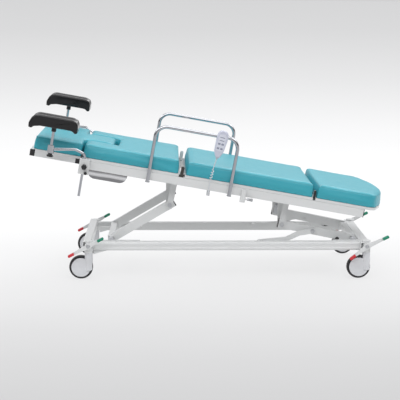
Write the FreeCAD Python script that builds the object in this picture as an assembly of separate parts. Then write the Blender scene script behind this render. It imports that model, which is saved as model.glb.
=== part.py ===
import FreeCAD, Part
import math
import os
from FreeCAD import Placement, Rotation, Vector

# Gynaecological examination bed in its head-low position, millimetres, +Z up.
# X runs from the foot end to the head end, Y away from the side with the hand control,
# and the origin lies on the floor under the middle of the outline.
# Couch pieces are drawn level in couch coordinates (s along, y across, t up from the
# underside of the cushions) and are tilted into place at the end.

# Driving dimensions of the whole bed
wheelbase_mid_x = 48.3
couch_height = 520.8
couch_tilt = 10.11
couch_half = 300.0
cushion_thick = 70.5
cushion_round = 12.0
board_thick = 14.7
slit = 0.3
fit = 0.06

# Couch lengths, measured along the couch
leg_foot_s = -984.0
leg_head_s = -733.0
seat_foot_s = -728.0
seat_head_s = -224.0
back_foot_s = -188.0
back_head_s = 489.0
head_foot_s = 506.0
head_side_s = 783.0
head_tip_s = 895.0
cutout_half = 130.0
cutout_end_s = -561.0
tongue_half = 121.0
tongue_end_s = -575.0
back_hinge_s = -206.0
head_hinge_s = 496.0
hinge_t = 32.0

# Main frame of the couch
rail_face = couch_half + 3.0
rail_width = 25.0
rail_low_t = -57.0
rail_high_t = -15.0
rail_foot_s = -730.0
rail_head_s = 765.0
tube_wall = 2.5
cross_depth = 40.0
cap_thick = 4.0
frame_end_s = -997.0
frame_low_t = -38.0
leg_inner_s = -735.0
leg_frame_half = couch_half - 4.0
leg_board_low_t = -12.0
slide_rod_t = -30.0
slide_rod_radius = 9.0
slide_rod_y = 210.0

# Lifting arms
arm_spacing = 175.0
arm_width = 25.0
arm_height = 44.0
arm_wall = 3.0
foot_arm_length = 362.0
head_arm_length = 388.0
link_to_roller = 221.0
head_arm_angle = 11.5
foot_arm_angle = 30.52
track_height = 193.0
head_roller_x = 711.7
pivot_gap = 606.6
link_pivot_x = 210.0
link_pivot_z = 179.0
link_thick = 6.0
link_width = 27.0
pin_radius = 8.0
rocker_reach = 40.0
rocker_width = 28.0
rocker_thick = 8.0
rocker_bar_radius = 8.0
glide_radius = 16.0
glide_wide = 28.0
arm_cross_size = 17.0
head_arm_over = 18.0
foot_arm_over = 24.0
link_offset = 16.0
bracket_gap = 17.0
bracket_thick = 5.0

# Base
base_rail_y = 255.0
base_rail_width = 40.0
base_rail_low = 147.0
base_rail_high = 193.0
track_wide = 35.0
arm_cross_half = base_rail_y - base_rail_width / 2 - track_wide
foot_cross_low = 160.0
foot_cross_high = 202.0
head_cross_high = 195.0
foot_cross_half = 21.0
head_cross_half = 25.0
base_foot_x = -700.0
base_head_x = 765.0
wheel_radius = 62.5
wheel_half_width = 13.0
wheel_y = base_rail_y + 25.0
wheel_x = 732.4
wheel_trail = 40.0
housing_radius = 22.0
housing_low = 140.5
lever_y = wheel_y + 38.0
buffer_x = head_roller_x - 86.0
lever_thick = 6.0
stem_radius = 11.0
stem_top = 166.0
lock_shaft_radius = 6.0

# Leg supports
clamp_s = -710.0
clamp_knob_s = -708.0
clamp_width = 52.0
clamp_deep = 34.0
rod_s = -713.0
rod_y = rail_face + 17.0
rod_radius = 7.0
rod_low_t = -200.0
post_s = -886.0
post_y = rail_face + 87.0
post_radius = 7.5
pad_length = 246.0
pad_width = 124.0
pad_s = -888.0
pad_pivot_t = 130.0

# Side arches, infusion socket and drain pan
arch_foot_s = {-1: -376.0, 1: -360.0}
arch_head_s = {-1: 53.0, 1: 69.0}
arch_y = rail_face + 13.0
arch_radius = 9.5
arch_top_t = 243.0
arch_low_t = -61.0
arch_bend = 58.0
socket_s = 126.0
socket_radius = 14.0
socket_bore = 9.5
socket_low_t = -85.0
socket_high_t = -17.0
screw_t = -66.0
pan_foot_s = -697.0
pan_head_s = -484.0
pan_half = 150.0
pan_low_t = -128.0
pan_rim_t = -62.0
pan_round = 42.0
pan_wall = 1.5
pan_runner_y = pan_half + 16.0

# Hand control and its cord
control_y = arch_y + 10.5
control_thick = 26.0
control_lean = 5.2
cord_radius = 2.2
curl_radius = 8.0
gland_t = -66.0

parts = {}


def v(x, y, z):
    return Vector(x, y, z)


def block(x0, x1, y0, y1, z0, z1):
    """A box between two limits on each axis, in any order."""
    lo = [min(a, b) for a, b in ((x0, x1), (y0, y1), (z0, z1))]
    hi = [max(a, b) for a, b in ((x0, x1), (y0, y1), (z0, z1))]
    return Part.makeBox(hi[0] - lo[0], hi[1] - lo[1], hi[2] - lo[2], v(*lo))


def bar(start, end, radius):
    """A round bar between two points."""
    run = end - start
    return Part.makeCylinder(radius, run.Length, start, run)


def fuse(solids):
    """One solid out of several that touch."""
    whole = solids[0]
    for other in solids[1:]:
        whole = whole.fuse(other)
    return whole.removeSplitter()


def rounded_wire(corners, place):
    """A closed outline of (a, b, radius) corners, each rounded by its radius."""
    edges = []
    ends = []
    count = len(corners)
    for i in range(count):
        a, b, radius = corners[i]
        here = v(a, b, 0)
        before = v(*corners[i - 1][:2], 0)
        after = v(*corners[(i + 1) % count][:2], 0)
        if radius <= 0:
            ends.append((here, here))
            continue
        into = (before - here).normalize()
        out = (after - here).normalize()
        turn = math.acos(max(-1.0, min(1.0, into.dot(out))))
        reach = radius / math.tan(turn / 2)
        middle = here + (into + out).normalize() * (radius / math.sin(turn / 2))
        start = here + into * reach
        end = here + out * reach
        crown = middle + (here - middle).normalize() * radius
        ends.append((start, end))
        edges.append((i, Part.Arc(place(start), place(crown), place(end)).toShape()))
    lines = []
    for i in range(count):
        start = ends[i][1]
        end = ends[(i + 1) % count][0]
        if (end - start).Length > 1e-6:
            lines.append((i + 0.5, Part.LineSegment(place(start), place(end)).toShape()))
    ordered = [edge for _, edge in sorted(edges + lines, key=lambda pair: pair[0])]
    return Part.Wire(ordered)


def plan_slab(corners, low, high):
    """A slab with an outline in the X-Y plane, between two heights."""
    wire = rounded_wire(corners, lambda p: v(p.x, p.y, low))
    return Part.Face(wire).extrude(v(0, 0, high - low))


def side_plate(corners, y0, y1):
    """A plate with an outline in the X-Z plane, between two depths."""
    low, high = min(y0, y1), max(y0, y1)
    wire = rounded_wire(corners, lambda p: v(p.x, low, p.y))
    return Part.Face(wire).extrude(v(0, high - low, 0))


def cross_section(corners, x0, x1):
    """A length of profile with an outline in the Y-Z plane."""
    wire = rounded_wire(corners, lambda p: v(x0, p.x, p.y))
    return Part.Face(wire).extrude(v(x1 - x0, 0, 0))


def round_top(solid, top, radius):
    """Rounds the edges that lie in a solid's top plane."""
    chosen = [e for e in solid.Edges if all(abs(p.Point.z - top) < 1e-6 for p in e.Vertexes)]
    return solid.makeFillet(radius, chosen)


def bent_path(points, radii):
    """A wire of straight runs joined by tangent arcs, one radius at each inner point."""
    edges = []
    start = points[0]
    for i in range(1, len(points) - 1):
        here = points[i]
        into = (points[i - 1] - here).normalize()
        out = (points[i + 1] - here).normalize()
        turn = math.acos(max(-1.0, min(1.0, into.dot(out))))
        reach = radii[i - 1] / math.tan(turn / 2)
        first = here + into * reach
        last = here + out * reach
        middle = here + (into + out).normalize() * (radii[i - 1] / math.sin(turn / 2))
        crown = middle + (here - middle).normalize() * radii[i - 1]
        edges.append(Part.LineSegment(start, first).toShape())
        edges.append(Part.Arc(first, crown, last).toShape())
        start = last
    edges.append(Part.LineSegment(start, points[-1]).toShape())
    return Part.Wire(edges)


def swept(points, radii, radius):
    """A round bar bent along straight runs and arcs."""
    path = bent_path(points, radii)
    ring = Part.Wire([Part.makeCircle(radius, points[0], points[1] - points[0])])
    return path.makePipeShell([ring], True, False)


def box_tube_y(x0, x1, z0, z1, half, wall, corner=4.0):
    """A rectangular tube lying along Y, centred on the middle plane."""
    outer = [(x0, z0, corner), (x1, z0, corner), (x1, z1, corner), (x0, z1, corner)]
    inner = [(x0 + wall, z0 + wall, 0), (x1 - wall, z0 + wall, 0),
             (x1 - wall, z1 - wall, 0), (x0 + wall, z1 - wall, 0)]
    return side_plate(outer, -half, half).cut(side_plate(inner, -half - 1, half + 1))


def keep(name, solids, moves=None):
    """Stores a node's solids, each moved by the placements given."""
    out = []
    for solid in solids:
        shape = solid.copy()
        for move in moves or []:
            shape.Placement = move.multiply(shape.Placement)
        out += shape.Solids
    parts[name] = out


base_place = Placement(v(wheelbase_mid_x, 0, 0), Rotation())
couch_place = Placement(v(wheelbase_mid_x, 0, couch_height), Rotation(v(0, 1, 0), couch_tilt))
on_base = [base_place]
on_couch = [couch_place]
sides = (("near", -1), ("far", 1))


# Lifting geometry, in the X-Z plane
def polar(angle):
    return v(math.cos(math.radians(angle)), 0, math.sin(math.radians(angle)))


head_low = v(head_roller_x, 0, track_height)
arm_run = polar(180 - head_arm_angle)
head_link_pin = head_low + arm_run * link_to_roller
head_top = head_low + arm_run * head_arm_length
foot_top = head_top + polar(180 - couch_tilt) * pivot_gap
foot_run = polar(180 + foot_arm_angle)
foot_low = foot_top + foot_run * foot_arm_length
link_pivot = v(link_pivot_x, 0, link_pivot_z)


# Base frame
foot_stem_x = -wheel_x + wheel_trail
head_stem_x = wheel_x + wheel_trail
lever_hubs = {"foot": (foot_stem_x, 181.0), "head": (head_stem_x - 3, 178.0)}


def base_rail(side):
    """A rounded side rail with a shallow band along its outer face."""
    y_out = side * (base_rail_y + base_rail_width / 2)
    y_in = side * (base_rail_y - base_rail_width / 2)
    band = side * 1.6
    low, high = base_rail_low, base_rail_high
    outline = [(y_in, low, 3), (y_out, low, 9), (y_out, low + 15, 0.8), (y_out - band, low + 17, 0.8),
               (y_out - band, high - 17, 0.8), (y_out, high - 15, 0.8), (y_out, high, 9), (y_in, high, 3)]
    wall = 3.0
    core = [(y_in + side * wall, low + wall, 0), (y_out - side * 2 * wall, low + wall, 0),
            (y_out - side * 2 * wall, high - wall, 0), (y_in + side * wall, high - wall, 0)]
    start = base_foot_x + foot_cross_half
    end = base_head_x - head_cross_half
    tube = cross_section(outline, start, end).cut(cross_section(core, start - 1, end + 1))
    gusset_top = low
    gusset = side_plate([(start, gusset_top, 0), (start + 78, gusset_top, 0), (start, gusset_top - 22, 4)],
                        y_out - side * 8, y_out - side * 4)
    housing = bar(v(foot_stem_x, side * wheel_y, 100), v(foot_stem_x, side * wheel_y, 220), housing_radius + 0.2)
    clear = bar(v(foot_stem_x, side * wheel_y, 100), v(foot_stem_x, side * wheel_y, low), 27)
    return fuse([tube, gusset.cut(clear)]).cut(housing)


def cross_member(x0, x1, z0, z1, stem_x):
    """A cross tube with the two castor housings welded through it."""
    wall = 3.0
    tube = box_tube_y(x0, x1, z0, z1, wheel_y + housing_radius - 2, wall)
    shaft_z = lever_hubs["foot" if stem_x < 0 else "head"][1]
    posts = []
    for name, side in sides:
        y = side * wheel_y
        post = bar(v(stem_x, y, housing_low), v(stem_x, y, 203), housing_radius)
        posts.append(post)
    whole = fuse([tube] + posts)
    for name, side in sides:
        whole = whole.cut(bar(v(stem_x, side * wheel_y, housing_low - 1),
                              v(stem_x, side * wheel_y, stem_top + 1.5), stem_radius + fit))
    hub_x = lever_hubs["foot" if stem_x < 0 else "head"][0]
    return whole.cut(bar(v(hub_x, -400, shaft_z), v(hub_x, 400, shaft_z), lock_shaft_radius + 0.3))


keep("base_cross_members", [
    cross_member(base_foot_x - foot_cross_half, base_foot_x + foot_cross_half, foot_cross_low,
                 foot_cross_high, foot_stem_x),
    cross_member(base_head_x - head_cross_half, base_head_x + head_cross_half, base_rail_low,
                 head_cross_high, head_stem_x),
], on_base)


def roller_track(side, x0, x1):
    """An angle that carries the glides of the lifting arms, with its web on the rail."""
    inner = side * (base_rail_y - base_rail_width / 2)
    ledge_top = track_height - glide_radius - 0.7
    web = block(x0, x1, inner, inner - side * 4, ledge_top - 5, base_rail_high + 3.5)
    ledge = block(x0, x1, inner, inner - side * track_wide, ledge_top - 5, ledge_top)
    return fuse([web, ledge])


def link_boss(side):
    """The boss on the rail that carries a link's fixed pivot."""
    inner = side * (base_rail_y - base_rail_width / 2)
    face = side * (arm_spacing + arm_width / 2 + link_offset + link_thick + 1)
    boss = bar(v(link_pivot.x, inner, link_pivot.z), v(link_pivot.x, face, link_pivot.z), 13)
    hole = bar(v(link_pivot.x, inner + side, link_pivot.z), v(link_pivot.x, face - side, link_pivot.z),
               pin_radius + fit)
    return boss.cut(hole)


def buffer(side):
    """A domed rubber stop that stands on the head end of the track."""
    ledge_top = track_height - glide_radius - 0.7
    y = side * (base_rail_y - base_rail_width / 2 - 19)
    post = bar(v(buffer_x, y, ledge_top), v(buffer_x, y, ledge_top + 20), 11)
    return post.fuse(Part.makeSphere(11, v(buffer_x, y, ledge_top + 20))).removeSplitter()


rails = []
for name, side in sides:
    rails += [base_rail(side), roller_track(side, base_foot_x + 40, foot_low.x + 153.5),
              roller_track(side, head_roller_x - 111.7, base_head_x - head_cross_half - 1), link_boss(side), buffer(side)]
keep("base_side_rails", rails, on_base)


# Castors
def castor_fork(side, stem_x):
    """Covered fork of a castor: crown, two cheeks with round covers, stem and axle."""
    y = side * wheel_y
    hub_x = stem_x - wheel_trail
    crown = bar(v(stem_x, y, wheel_radius * 2 + 2), v(stem_x, y, housing_low - 0.5), 21)
    stem = bar(v(stem_x, y, wheel_radius * 2 + 3), v(stem_x, y, stem_top), stem_radius)
    pieces = [crown, stem]
    inner = wheel_half_width + 1
    for way in (-1, 1):
        cheek = side_plate([(stem_x - 21, 46, 5), (stem_x + 21, 46, 12), (stem_x + 21, 132, 0),
                            (stem_x - 21, 132, 0)], y + way * inner, y + way * (inner + 9))
        rim = bar(v(stem_x, y, 30), v(stem_x, y, 150), 24)
        cover = bar(v(hub_x, y + way * inner, wheel_radius), v(hub_x, y + way * (inner + 4), wheel_radius), 50)
        pieces += [cheek.common(rim), cover]
    axle = bar(v(hub_x, y - inner - 1, wheel_radius), v(hub_x, y + inner + 1, wheel_radius), 6)
    return fuse(pieces + [axle])


def castor_wheel(side, stem_x):
    """Disc and tyre of a castor wheel, turning on the fork's axle."""
    y = side * wheel_y
    hub_x = stem_x - wheel_trail
    centre = v(hub_x, y, wheel_radius)
    disc = bar(centre - v(0, 11, 0), centre + v(0, 11, 0), 50)
    disc = disc.cut(bar(centre - v(0, 12, 0), centre + v(0, 12, 0), 6 + fit))
    half = wheel_half_width
    outline = [(50, -half, 0), (wheel_radius - 3, -half, 0), (wheel_radius, -half + 5, 0),
               (wheel_radius, half - 5, 0), (wheel_radius - 3, half, 0), (50, half, 0)]
    corners = [v(hub_x, y + b, wheel_radius + a) for a, b, _ in outline]
    profile = Part.makePolygon(corners + [corners[0]])
    tyre = Part.Face(profile).revolve(centre, v(0, 1, 0), 360)
    return [disc, tyre]


castors = {"near_foot": (-1, foot_stem_x), "far_foot": (1, foot_stem_x),
           "near_head": (-1, head_stem_x), "far_head": (1, head_stem_x)}
for name, (side, stem_x) in castors.items():
    keep("castor_fork_" + name, [castor_fork(side, stem_x)], on_base)
    keep("castor_wheel_" + name, castor_wheel(side, stem_x), on_base)


# Brake and steering bars
def lock_bar(hub, red_run, red_fall, green_run, green_rise):
    """A shaft across the base with a two-ended pedal lever at each end, and its pads."""
    x, z = hub
    tip = lever_y + lever_thick
    shaft = bar(v(x, -lever_y - 1, z), v(x, lever_y + 1, z), lock_shaft_radius)
    bars = []
    pads = []
    red = v(x - red_run, 0, z - red_fall)
    green = v(x + green_run, 0, z + green_rise)
    for name, side in sides:
        y0, y1 = side * lever_y, side * tip
        hub_disc = bar(v(x, y0, z), v(x, y1, z), 17)
        levers = [hub_disc]
        for end in (red, green):
            run = (end - v(x, 0, z)).normalize()
            across = v(-run.z, 0, run.x)
            root = v(x, 0, z)
            neck = end - run * 12
            corners = [root + across * 13, neck + across * 7, neck - across * 7, root - across * 13]
            levers.append(side_plate([(c.x, c.z, 0) for c in corners], y0, y1))
            face0, face1 = side * (lever_y - 5), side * (tip + 9)
            pad_corners = [end - run * 12 + across * 7, end + run * 24 + across * 7,
                           end + run * 24 - across * 7, end - run * 12 - across * 7]
            pads.append(side_plate([(c.x, c.z, 3) for c in pad_corners], face0, face1))
        bars.append(fuse(levers).cut(shaft))
    return [shaft] + bars + pads


keep("lock_bar_foot", lock_bar(lever_hubs["foot"], 83, 44, 60, 33), on_base)
keep("lock_bar_head", lock_bar(lever_hubs["head"], 69, 54, 92, 44), on_base)


# Lifting arms
def arm(top, low, side, end_over, low_over):
    """One arm tube between its upper pivot and its roller end, with bores for the pins."""
    run = (low - top).normalize()
    across = v(-run.z, 0, run.x)
    start = top - run * end_over
    end = low + run * low_over
    half = arm_height / 2
    inner = half - arm_wall
    y0 = side * arm_spacing - arm_width / 2
    y1 = side * arm_spacing + arm_width / 2

    def ring(half_height, overrun):
        corners = [start - run * overrun + across * half_height, end + run * overrun + across * half_height,
                   end + run * overrun - across * half_height, start - run * overrun - across * half_height]
        return [(c.x, c.z, 0) for c in corners]

    tube = side_plate(ring(half, 0), y0, y1).cut(side_plate(ring(inner, 1), y0 + arm_wall, y1 - arm_wall))
    boss = bar(v(top.x, y0 + 1, top.z), v(top.x, y1 - 1, top.z), pin_radius + 5)
    bore = bar(v(top.x, y0 - 1, top.z), v(top.x, y1 + 1, top.z), pin_radius + fit)
    return fuse([tube, boss]).cut(bore)


def arm_cap(top, low, side, end_over):
    """A moulded plug over the open upper end of an arm tube."""
    run = (low - top).normalize()
    across = v(-run.z, 0, run.x)
    face = top - run * end_over
    half = arm_height / 2
    corners = [face + across * half, face - run * cap_thick + across * half,
               face - run * cap_thick - across * half, face - across * half]
    return side_plate([(c.x, c.z, 0) for c in corners], side * arm_spacing - arm_width / 2,
                      side * arm_spacing + arm_width / 2)


def arm_pair(top, low, end_over, link_pin=None):
    """Two arms welded to the cross tube that joins their glide ends, and the loose mouldings."""
    tubes = [arm(top, low, side, end_over, 10) for name, side in sides]
    size = arm_cross_size
    half = arm_cross_half
    cross = box_tube_y(low.x - size, low.x + size, low.z - size, low.z + size, half, arm_wall, 3)
    envelope = block(low.x - size, low.x + size, -half, half, low.z - size, low.z + size)
    if link_pin is not None:
        for k, (name, side) in enumerate(sides):
            y0 = side * (arm_spacing - arm_width / 2 + 1)
            y1 = side * (arm_spacing + arm_width / 2)
            boss = bar(v(link_pin.x, y0, link_pin.z), v(link_pin.x, y1, link_pin.z), 13)
            hole = bar(v(link_pin.x, y0 - side * 3, link_pin.z), v(link_pin.x, y1 + side, link_pin.z),
                       pin_radius + fit)
            tubes[k] = fuse([tubes[k], boss]).cut(hole)
    welded = [tube.cut(envelope) for tube in tubes] + [cross]
    loose = [arm_cap(top, low, side, end_over) for name, side in sides]
    for name, side in sides:
        loose.append(bar(v(low.x, side * half, low.z), v(low.x, side * (half + glide_wide), low.z),
                         glide_radius))
    return welded, loose


head_arms, head_loose = arm_pair(head_top, head_low, head_arm_over, head_link_pin)
foot_arms, foot_loose = arm_pair(foot_top, foot_low, foot_arm_over)
keep("head_arms", head_arms, on_base)
keep("head_arm_glides", head_loose, on_base)
keep("foot_arms", foot_arms, on_base)
keep("foot_arm_glides", foot_loose, on_base)


def dog_leg_link(side):
    """A flat bar bent in its own plane, with its two pivot pins."""
    y0 = side * (arm_spacing + arm_width / 2 + link_offset)
    y1 = y0 + side * link_thick
    middle = [link_pivot, link_pivot + v(142, 0, 14), link_pivot + v(215, 0, 47), head_link_pin]
    half = link_width / 2
    upper = []
    lower = []
    for i in range(len(middle)):
        ahead = middle[min(i + 1, len(middle) - 1)]
        behind = middle[max(i - 1, 0)]
        run = (ahead - behind).normalize()
        across = v(-run.z, 0, run.x)
        upper.append(middle[i] + across * half)
        lower.append(middle[i] - across * half)
    outline = [(p.x, p.z, 12 if 0 < i < 3 else 0) for i, p in enumerate(upper)]
    outline += [(p.x, p.z, 12 if 0 < 3 - i < 3 else 0) for i, p in enumerate(reversed(lower))]
    plate = side_plate(outline, y0, y1)
    ends = [bar(v(p.x, y0, p.z), v(p.x, y1, p.z), half) for p in (link_pivot, head_link_pin)]
    rail_face_y = side * (base_rail_y - base_rail_width / 2 - 0.5)
    fixed_pin = bar(v(link_pivot.x, y0, link_pivot.z), v(link_pivot.x, rail_face_y, link_pivot.z), pin_radius)
    spacer = bar(v(head_link_pin.x, y0, head_link_pin.z),
                 v(head_link_pin.x, side * (arm_spacing + arm_width / 2 + 0.5), head_link_pin.z), 12)
    arm_pin = bar(v(head_link_pin.x, y0, head_link_pin.z),
                  v(head_link_pin.x, side * (arm_spacing - arm_width / 2 + arm_wall), head_link_pin.z), pin_radius)
    return fuse([plate] + ends + [fixed_pin, spacer, arm_pin])


keep("head_lift_links", [dog_leg_link(side) for name, side in sides], on_base)


def pivot_pins(top):
    """The pins that join an arm pair to its couch brackets, with the rocker that links both pins."""
    pins = []
    up = polar(90 - couch_tilt)
    rocker_end = top + up * rocker_reach
    across = v(up.z, 0, -up.x) * (rocker_width / 2)
    tip = rocker_end + up * (rocker_bar_radius + 1)
    heel = top - up * (pin_radius + 3)
    corners = [(heel - across, 10), (heel + across, 10), (tip + across, 8), (tip - across, 8)]
    for name, side in sides:
        inner = side * (arm_spacing - bracket_gap - bracket_thick - 2)
        outer = side * (arm_spacing + bracket_gap + bracket_thick + 3)
        pin = bar(v(top.x, inner, top.z), v(top.x, outer, top.z), pin_radius)
        head = bar(v(top.x, outer, top.z), v(top.x, outer + side * 4, top.z), pin_radius + 4)
        pins.append(fuse([pin, head]))
        pins.append(side_plate([(c.x, c.z, r) for c, r in corners], inner, inner - side * rocker_thick))
    bar_end = arm_spacing - bracket_gap - bracket_thick - 2 - rocker_thick
    pins.append(bar(v(rocker_end.x, -bar_end, rocker_end.z), v(rocker_end.x, bar_end, rocker_end.z),
                    rocker_bar_radius))
    return pins


keep("foot_pivot_pins", pivot_pins(foot_top), on_base)
keep("head_pivot_pins", pivot_pins(head_top), on_base)


# Couch main frame
to_couch = couch_place.inverse().multiply(base_place)
foot_pivot = to_couch.multVec(foot_top)
head_pivot = to_couch.multVec(head_top)


def couch_rail(side):
    """A main side rail with its two arch saddles."""
    face = side * rail_face
    back = side * (rail_face - rail_width)
    tube = block(rail_foot_s, rail_head_s, face, back, rail_low_t, rail_high_t)
    tube = tube.cut(block(rail_foot_s - 1, rail_head_s + 1, face - side * tube_wall, back + side * tube_wall,
                          rail_low_t + tube_wall, rail_high_t - tube_wall))
    pieces = [tube]
    for s in (arch_foot_s[side], arch_head_s[side]):
        saddle = block(s - 15, s + 15, face, side * (arch_y - 1), rail_low_t + 5, rail_high_t - 3)
        groove = bar(v(s, side * arch_y, -80), v(s, side * arch_y, 20), arch_radius + 0.15)
        pieces.append(saddle.cut(groove))
    return fuse(pieces)


keep("couch_side_rails", [couch_rail(side) for name, side in sides], on_couch)


def couch_cross(s, bores=()):
    """A cross tube between the main rails, with bores for sliding rods."""
    half = rail_face - rail_width
    tube = box_tube_y(s - cross_depth / 2, s + cross_depth / 2, rail_low_t, rail_high_t - 2, half, tube_wall, 3)
    for y in bores:
        tube = tube.cut(bar(v(s - cross_depth, y, slide_rod_t), v(s + cross_depth, y, slide_rod_t),
                            slide_rod_radius + 0.3))
    return tube


def pan_runner(side):
    """A hanging channel that the drain pan's rim slides in."""
    start = rail_foot_s + cross_depth
    end = pan_head_s + 50
    web = block(start, end, side * (pan_runner_y + 3), side * pan_runner_y, pan_rim_t - 6, -board_thick)
    lip = block(start, end, side * (pan_runner_y + 3), side * (pan_runner_y - 14), pan_rim_t - 6, pan_rim_t - 2.3)
    return fuse([web, lip])


slide_bores = (-slide_rod_y, slide_rod_y)
cross_tubes = [
    couch_cross(rail_foot_s + cross_depth / 2, slide_bores),
    couch_cross(foot_pivot.x + 8),
    couch_cross(head_pivot.x + 8),
    couch_cross(rail_head_s - cross_depth / 2),
] + [pan_runner(side) for name, side in sides]

end_caps = []
for name, side in sides:
    face = side * rail_face
    back = side * (rail_face - rail_width)
    end_caps.append(block(rail_head_s, rail_head_s + cap_thick, face, back, rail_low_t, rail_high_t))
    end_caps.append(block(rail_foot_s - cap_thick, rail_foot_s, face, back, rail_low_t, rail_high_t))
keep("rail_end_caps", end_caps, on_couch)


def lift_bracket(pivot, side):
    """The outer strap and the tapered inner plate that hang from a cross tube."""
    outer_y = side * (arm_spacing + bracket_gap)
    inner_y = side * (arm_spacing - bracket_gap)
    top = rail_low_t
    foot = pivot.z - 21
    strap = side_plate([(pivot.x - 16, top, 0), (pivot.x + 16, top, 0), (pivot.x + 16, foot, 9),
                        (pivot.x - 16, foot, 9)], outer_y, outer_y + side * bracket_thick)
    taper = side_plate([(pivot.x - 44, top, 0), (pivot.x + 20, top, 0), (pivot.x + 17, foot, 12),
                        (pivot.x - 17, foot, 12)], inner_y, inner_y - side * bracket_thick)
    out = []
    for plate in (strap, taper):
        out.append(plate.cut(bar(v(pivot.x, -400, pivot.z), v(pivot.x, 400, pivot.z), pin_radius + fit)))
    return out


for pivot in (foot_pivot, head_pivot):
    for name, side in sides:
        cross_tubes += lift_bracket(pivot, side)
keep("couch_cross_tubes", cross_tubes, on_couch)


# Seat section, fixed to the main frame
def cut_out(half, start, end, corner):
    return [(start, -half, 0), (end, -half, corner), (end, half, corner), (start, half, 0)]


seat_board = plan_slab([(seat_foot_s, -couch_half + 1, 2), (seat_head_s + 3, -couch_half + 1, 6),
                        (seat_head_s + 3, couch_half - 1, 6), (seat_foot_s, couch_half - 1, 2)], -board_thick, 0)
seat_board = seat_board.cut(plan_slab(cut_out(cutout_half, seat_foot_s - 1, cutout_end_s, 6), -20, 5))
hinge_ears = []
for name, side in sides:
    y0, y1 = side * (couch_half - 4), side * (couch_half - 10)
    ear = side_plate([(seat_head_s + 3 + slit, -board_thick, 0), (back_hinge_s + 9, -board_thick, 0),
                      (back_hinge_s + 9, hinge_t, 0), (back_hinge_s - 9, hinge_t, 0),
                      (back_hinge_s - 9, -2, 0), (seat_head_s + 3 + slit, -2, 0)], y0, y1)
    ear = fuse([ear, bar(v(back_hinge_s, y0, hinge_t), v(back_hinge_s, y1, hinge_t), 9)])
    hinge_ears.append(ear.cut(bar(v(back_hinge_s, -400, hinge_t), v(back_hinge_s, 400, hinge_t), 4 + fit)))
keep("seat_board", [seat_board] + hinge_ears, on_couch)

seat_outline = [(seat_foot_s, -couch_half, 10), (seat_head_s, -couch_half, 14), (seat_head_s, couch_half, 14),
                (seat_foot_s, couch_half, 10), (seat_foot_s, cutout_half, 8), (cutout_end_s, cutout_half, 8),
                (cutout_end_s, -cutout_half, 8), (seat_foot_s, -cutout_half, 8)]
seat_cushion = round_top(plan_slab(seat_outline, 0, cushion_thick), cushion_thick, 7)
keep("seat_cushion", [seat_cushion], on_couch)


# Leg section, which pulls out on two rods
leg_board = plan_slab([(frame_end_s + 25, -couch_half + 1, 2), (leg_inner_s, -couch_half + 1, 0),
                       (leg_inner_s, -tongue_half + 3, 0), (tongue_end_s - 4, -tongue_half + 3, 30),
                       (tongue_end_s - 4, tongue_half - 3, 30), (leg_inner_s, tongue_half - 3, 0),
                       (leg_inner_s, couch_half - 1, 0), (frame_end_s + 25, couch_half - 1, 2)],
                      leg_board_low_t, 0)
leg_pieces = [leg_board]
for s in (frame_end_s, leg_inner_s - 25):
    top = -4 if s == frame_end_s else leg_board_low_t
    leg_pieces.append(box_tube_y(s, s + 25, frame_low_t, top, leg_frame_half, tube_wall, 2))
    for name, side in sides:
        leg_pieces.append(block(s, s + 25, side * leg_frame_half, side * (leg_frame_half + 4), frame_low_t, top))
for name, side in sides:
    leg_pieces.append(block(frame_end_s + 25, leg_inner_s - 25, side * (couch_half - 1), side * (couch_half - 5),
                            frame_low_t, leg_board_low_t))
    leg_pieces.append(bar(v(leg_inner_s, side * slide_rod_y, slide_rod_t),
                          v(-430, side * slide_rod_y, slide_rod_t), slide_rod_radius))
keep("leg_frame", leg_pieces, on_couch)

leg_outline = [(leg_foot_s, -couch_half, 14), (leg_head_s, -couch_half, 10), (leg_head_s, -tongue_half, 4),
               (tongue_end_s, -tongue_half, 38), (tongue_end_s, tongue_half, 38), (leg_head_s, tongue_half, 4),
               (leg_head_s, couch_half, 10), (leg_foot_s, couch_half, 14)]
leg_cushion = round_top(plan_slab(leg_outline, 0, cushion_thick), cushion_thick, 3.5)
keep("leg_cushion", [leg_cushion], on_couch)


# Back and head sections
def hinge_leaf(hinge_s, board_end, side, layer):
    """A leaf that stands up from a board to its hinge axis."""
    y0 = side * (couch_half - layer)
    y1 = side * (couch_half - layer - 5.4)
    grow = 1 if board_end > hinge_s else -1
    foot = -board_thick + 2.7
    leaf = side_plate([(board_end, foot, 0), (hinge_s - grow * 6, foot, 0),
                       (hinge_s - grow * 6, hinge_t, 0), (hinge_s + grow * 6, hinge_t, 0),
                       (hinge_s + grow * 6, 1, 0), (board_end, 1, 0)], y0, y1)
    return fuse([leaf, bar(v(hinge_s, y0, hinge_t), v(hinge_s, y1, hinge_t), 6)])


def section_board(start, end):
    corner = 6
    return plan_slab([(start, -couch_half + 1, corner), (end, -couch_half + 1, corner),
                      (end, couch_half - 1, corner), (start, couch_half - 1, corner)], -board_thick + slit, 0)


back_board = section_board(back_foot_s - 2, back_head_s + 1)
back_leaves = []
for name, side in sides:
    leaf = hinge_leaf(back_hinge_s, back_foot_s - 2 - slit, side, 10.6)
    pin = bar(v(back_hinge_s, side * (couch_half - 3), hinge_t), v(back_hinge_s, side * (couch_half - 16), hinge_t), 4)
    back_leaves.append(fuse([leaf, pin]))
    ear = hinge_leaf(head_hinge_s, back_head_s + 1 + slit, side, 10.6)
    back_leaves.append(ear.cut(bar(v(head_hinge_s, -400, hinge_t), v(head_hinge_s, 400, hinge_t), 3 + fit)))
keep("back_board", [back_board] + back_leaves, on_couch)


def cushion(corners, edge_round):
    return round_top(plan_slab(corners, 0, cushion_thick), cushion_thick, edge_round)


keep("back_cushion", [cushion([(back_foot_s, -couch_half, 14), (back_head_s, -couch_half, 14),
                               (back_head_s, couch_half, 14), (back_foot_s, couch_half, 14)], cushion_round)],
     on_couch)


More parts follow.
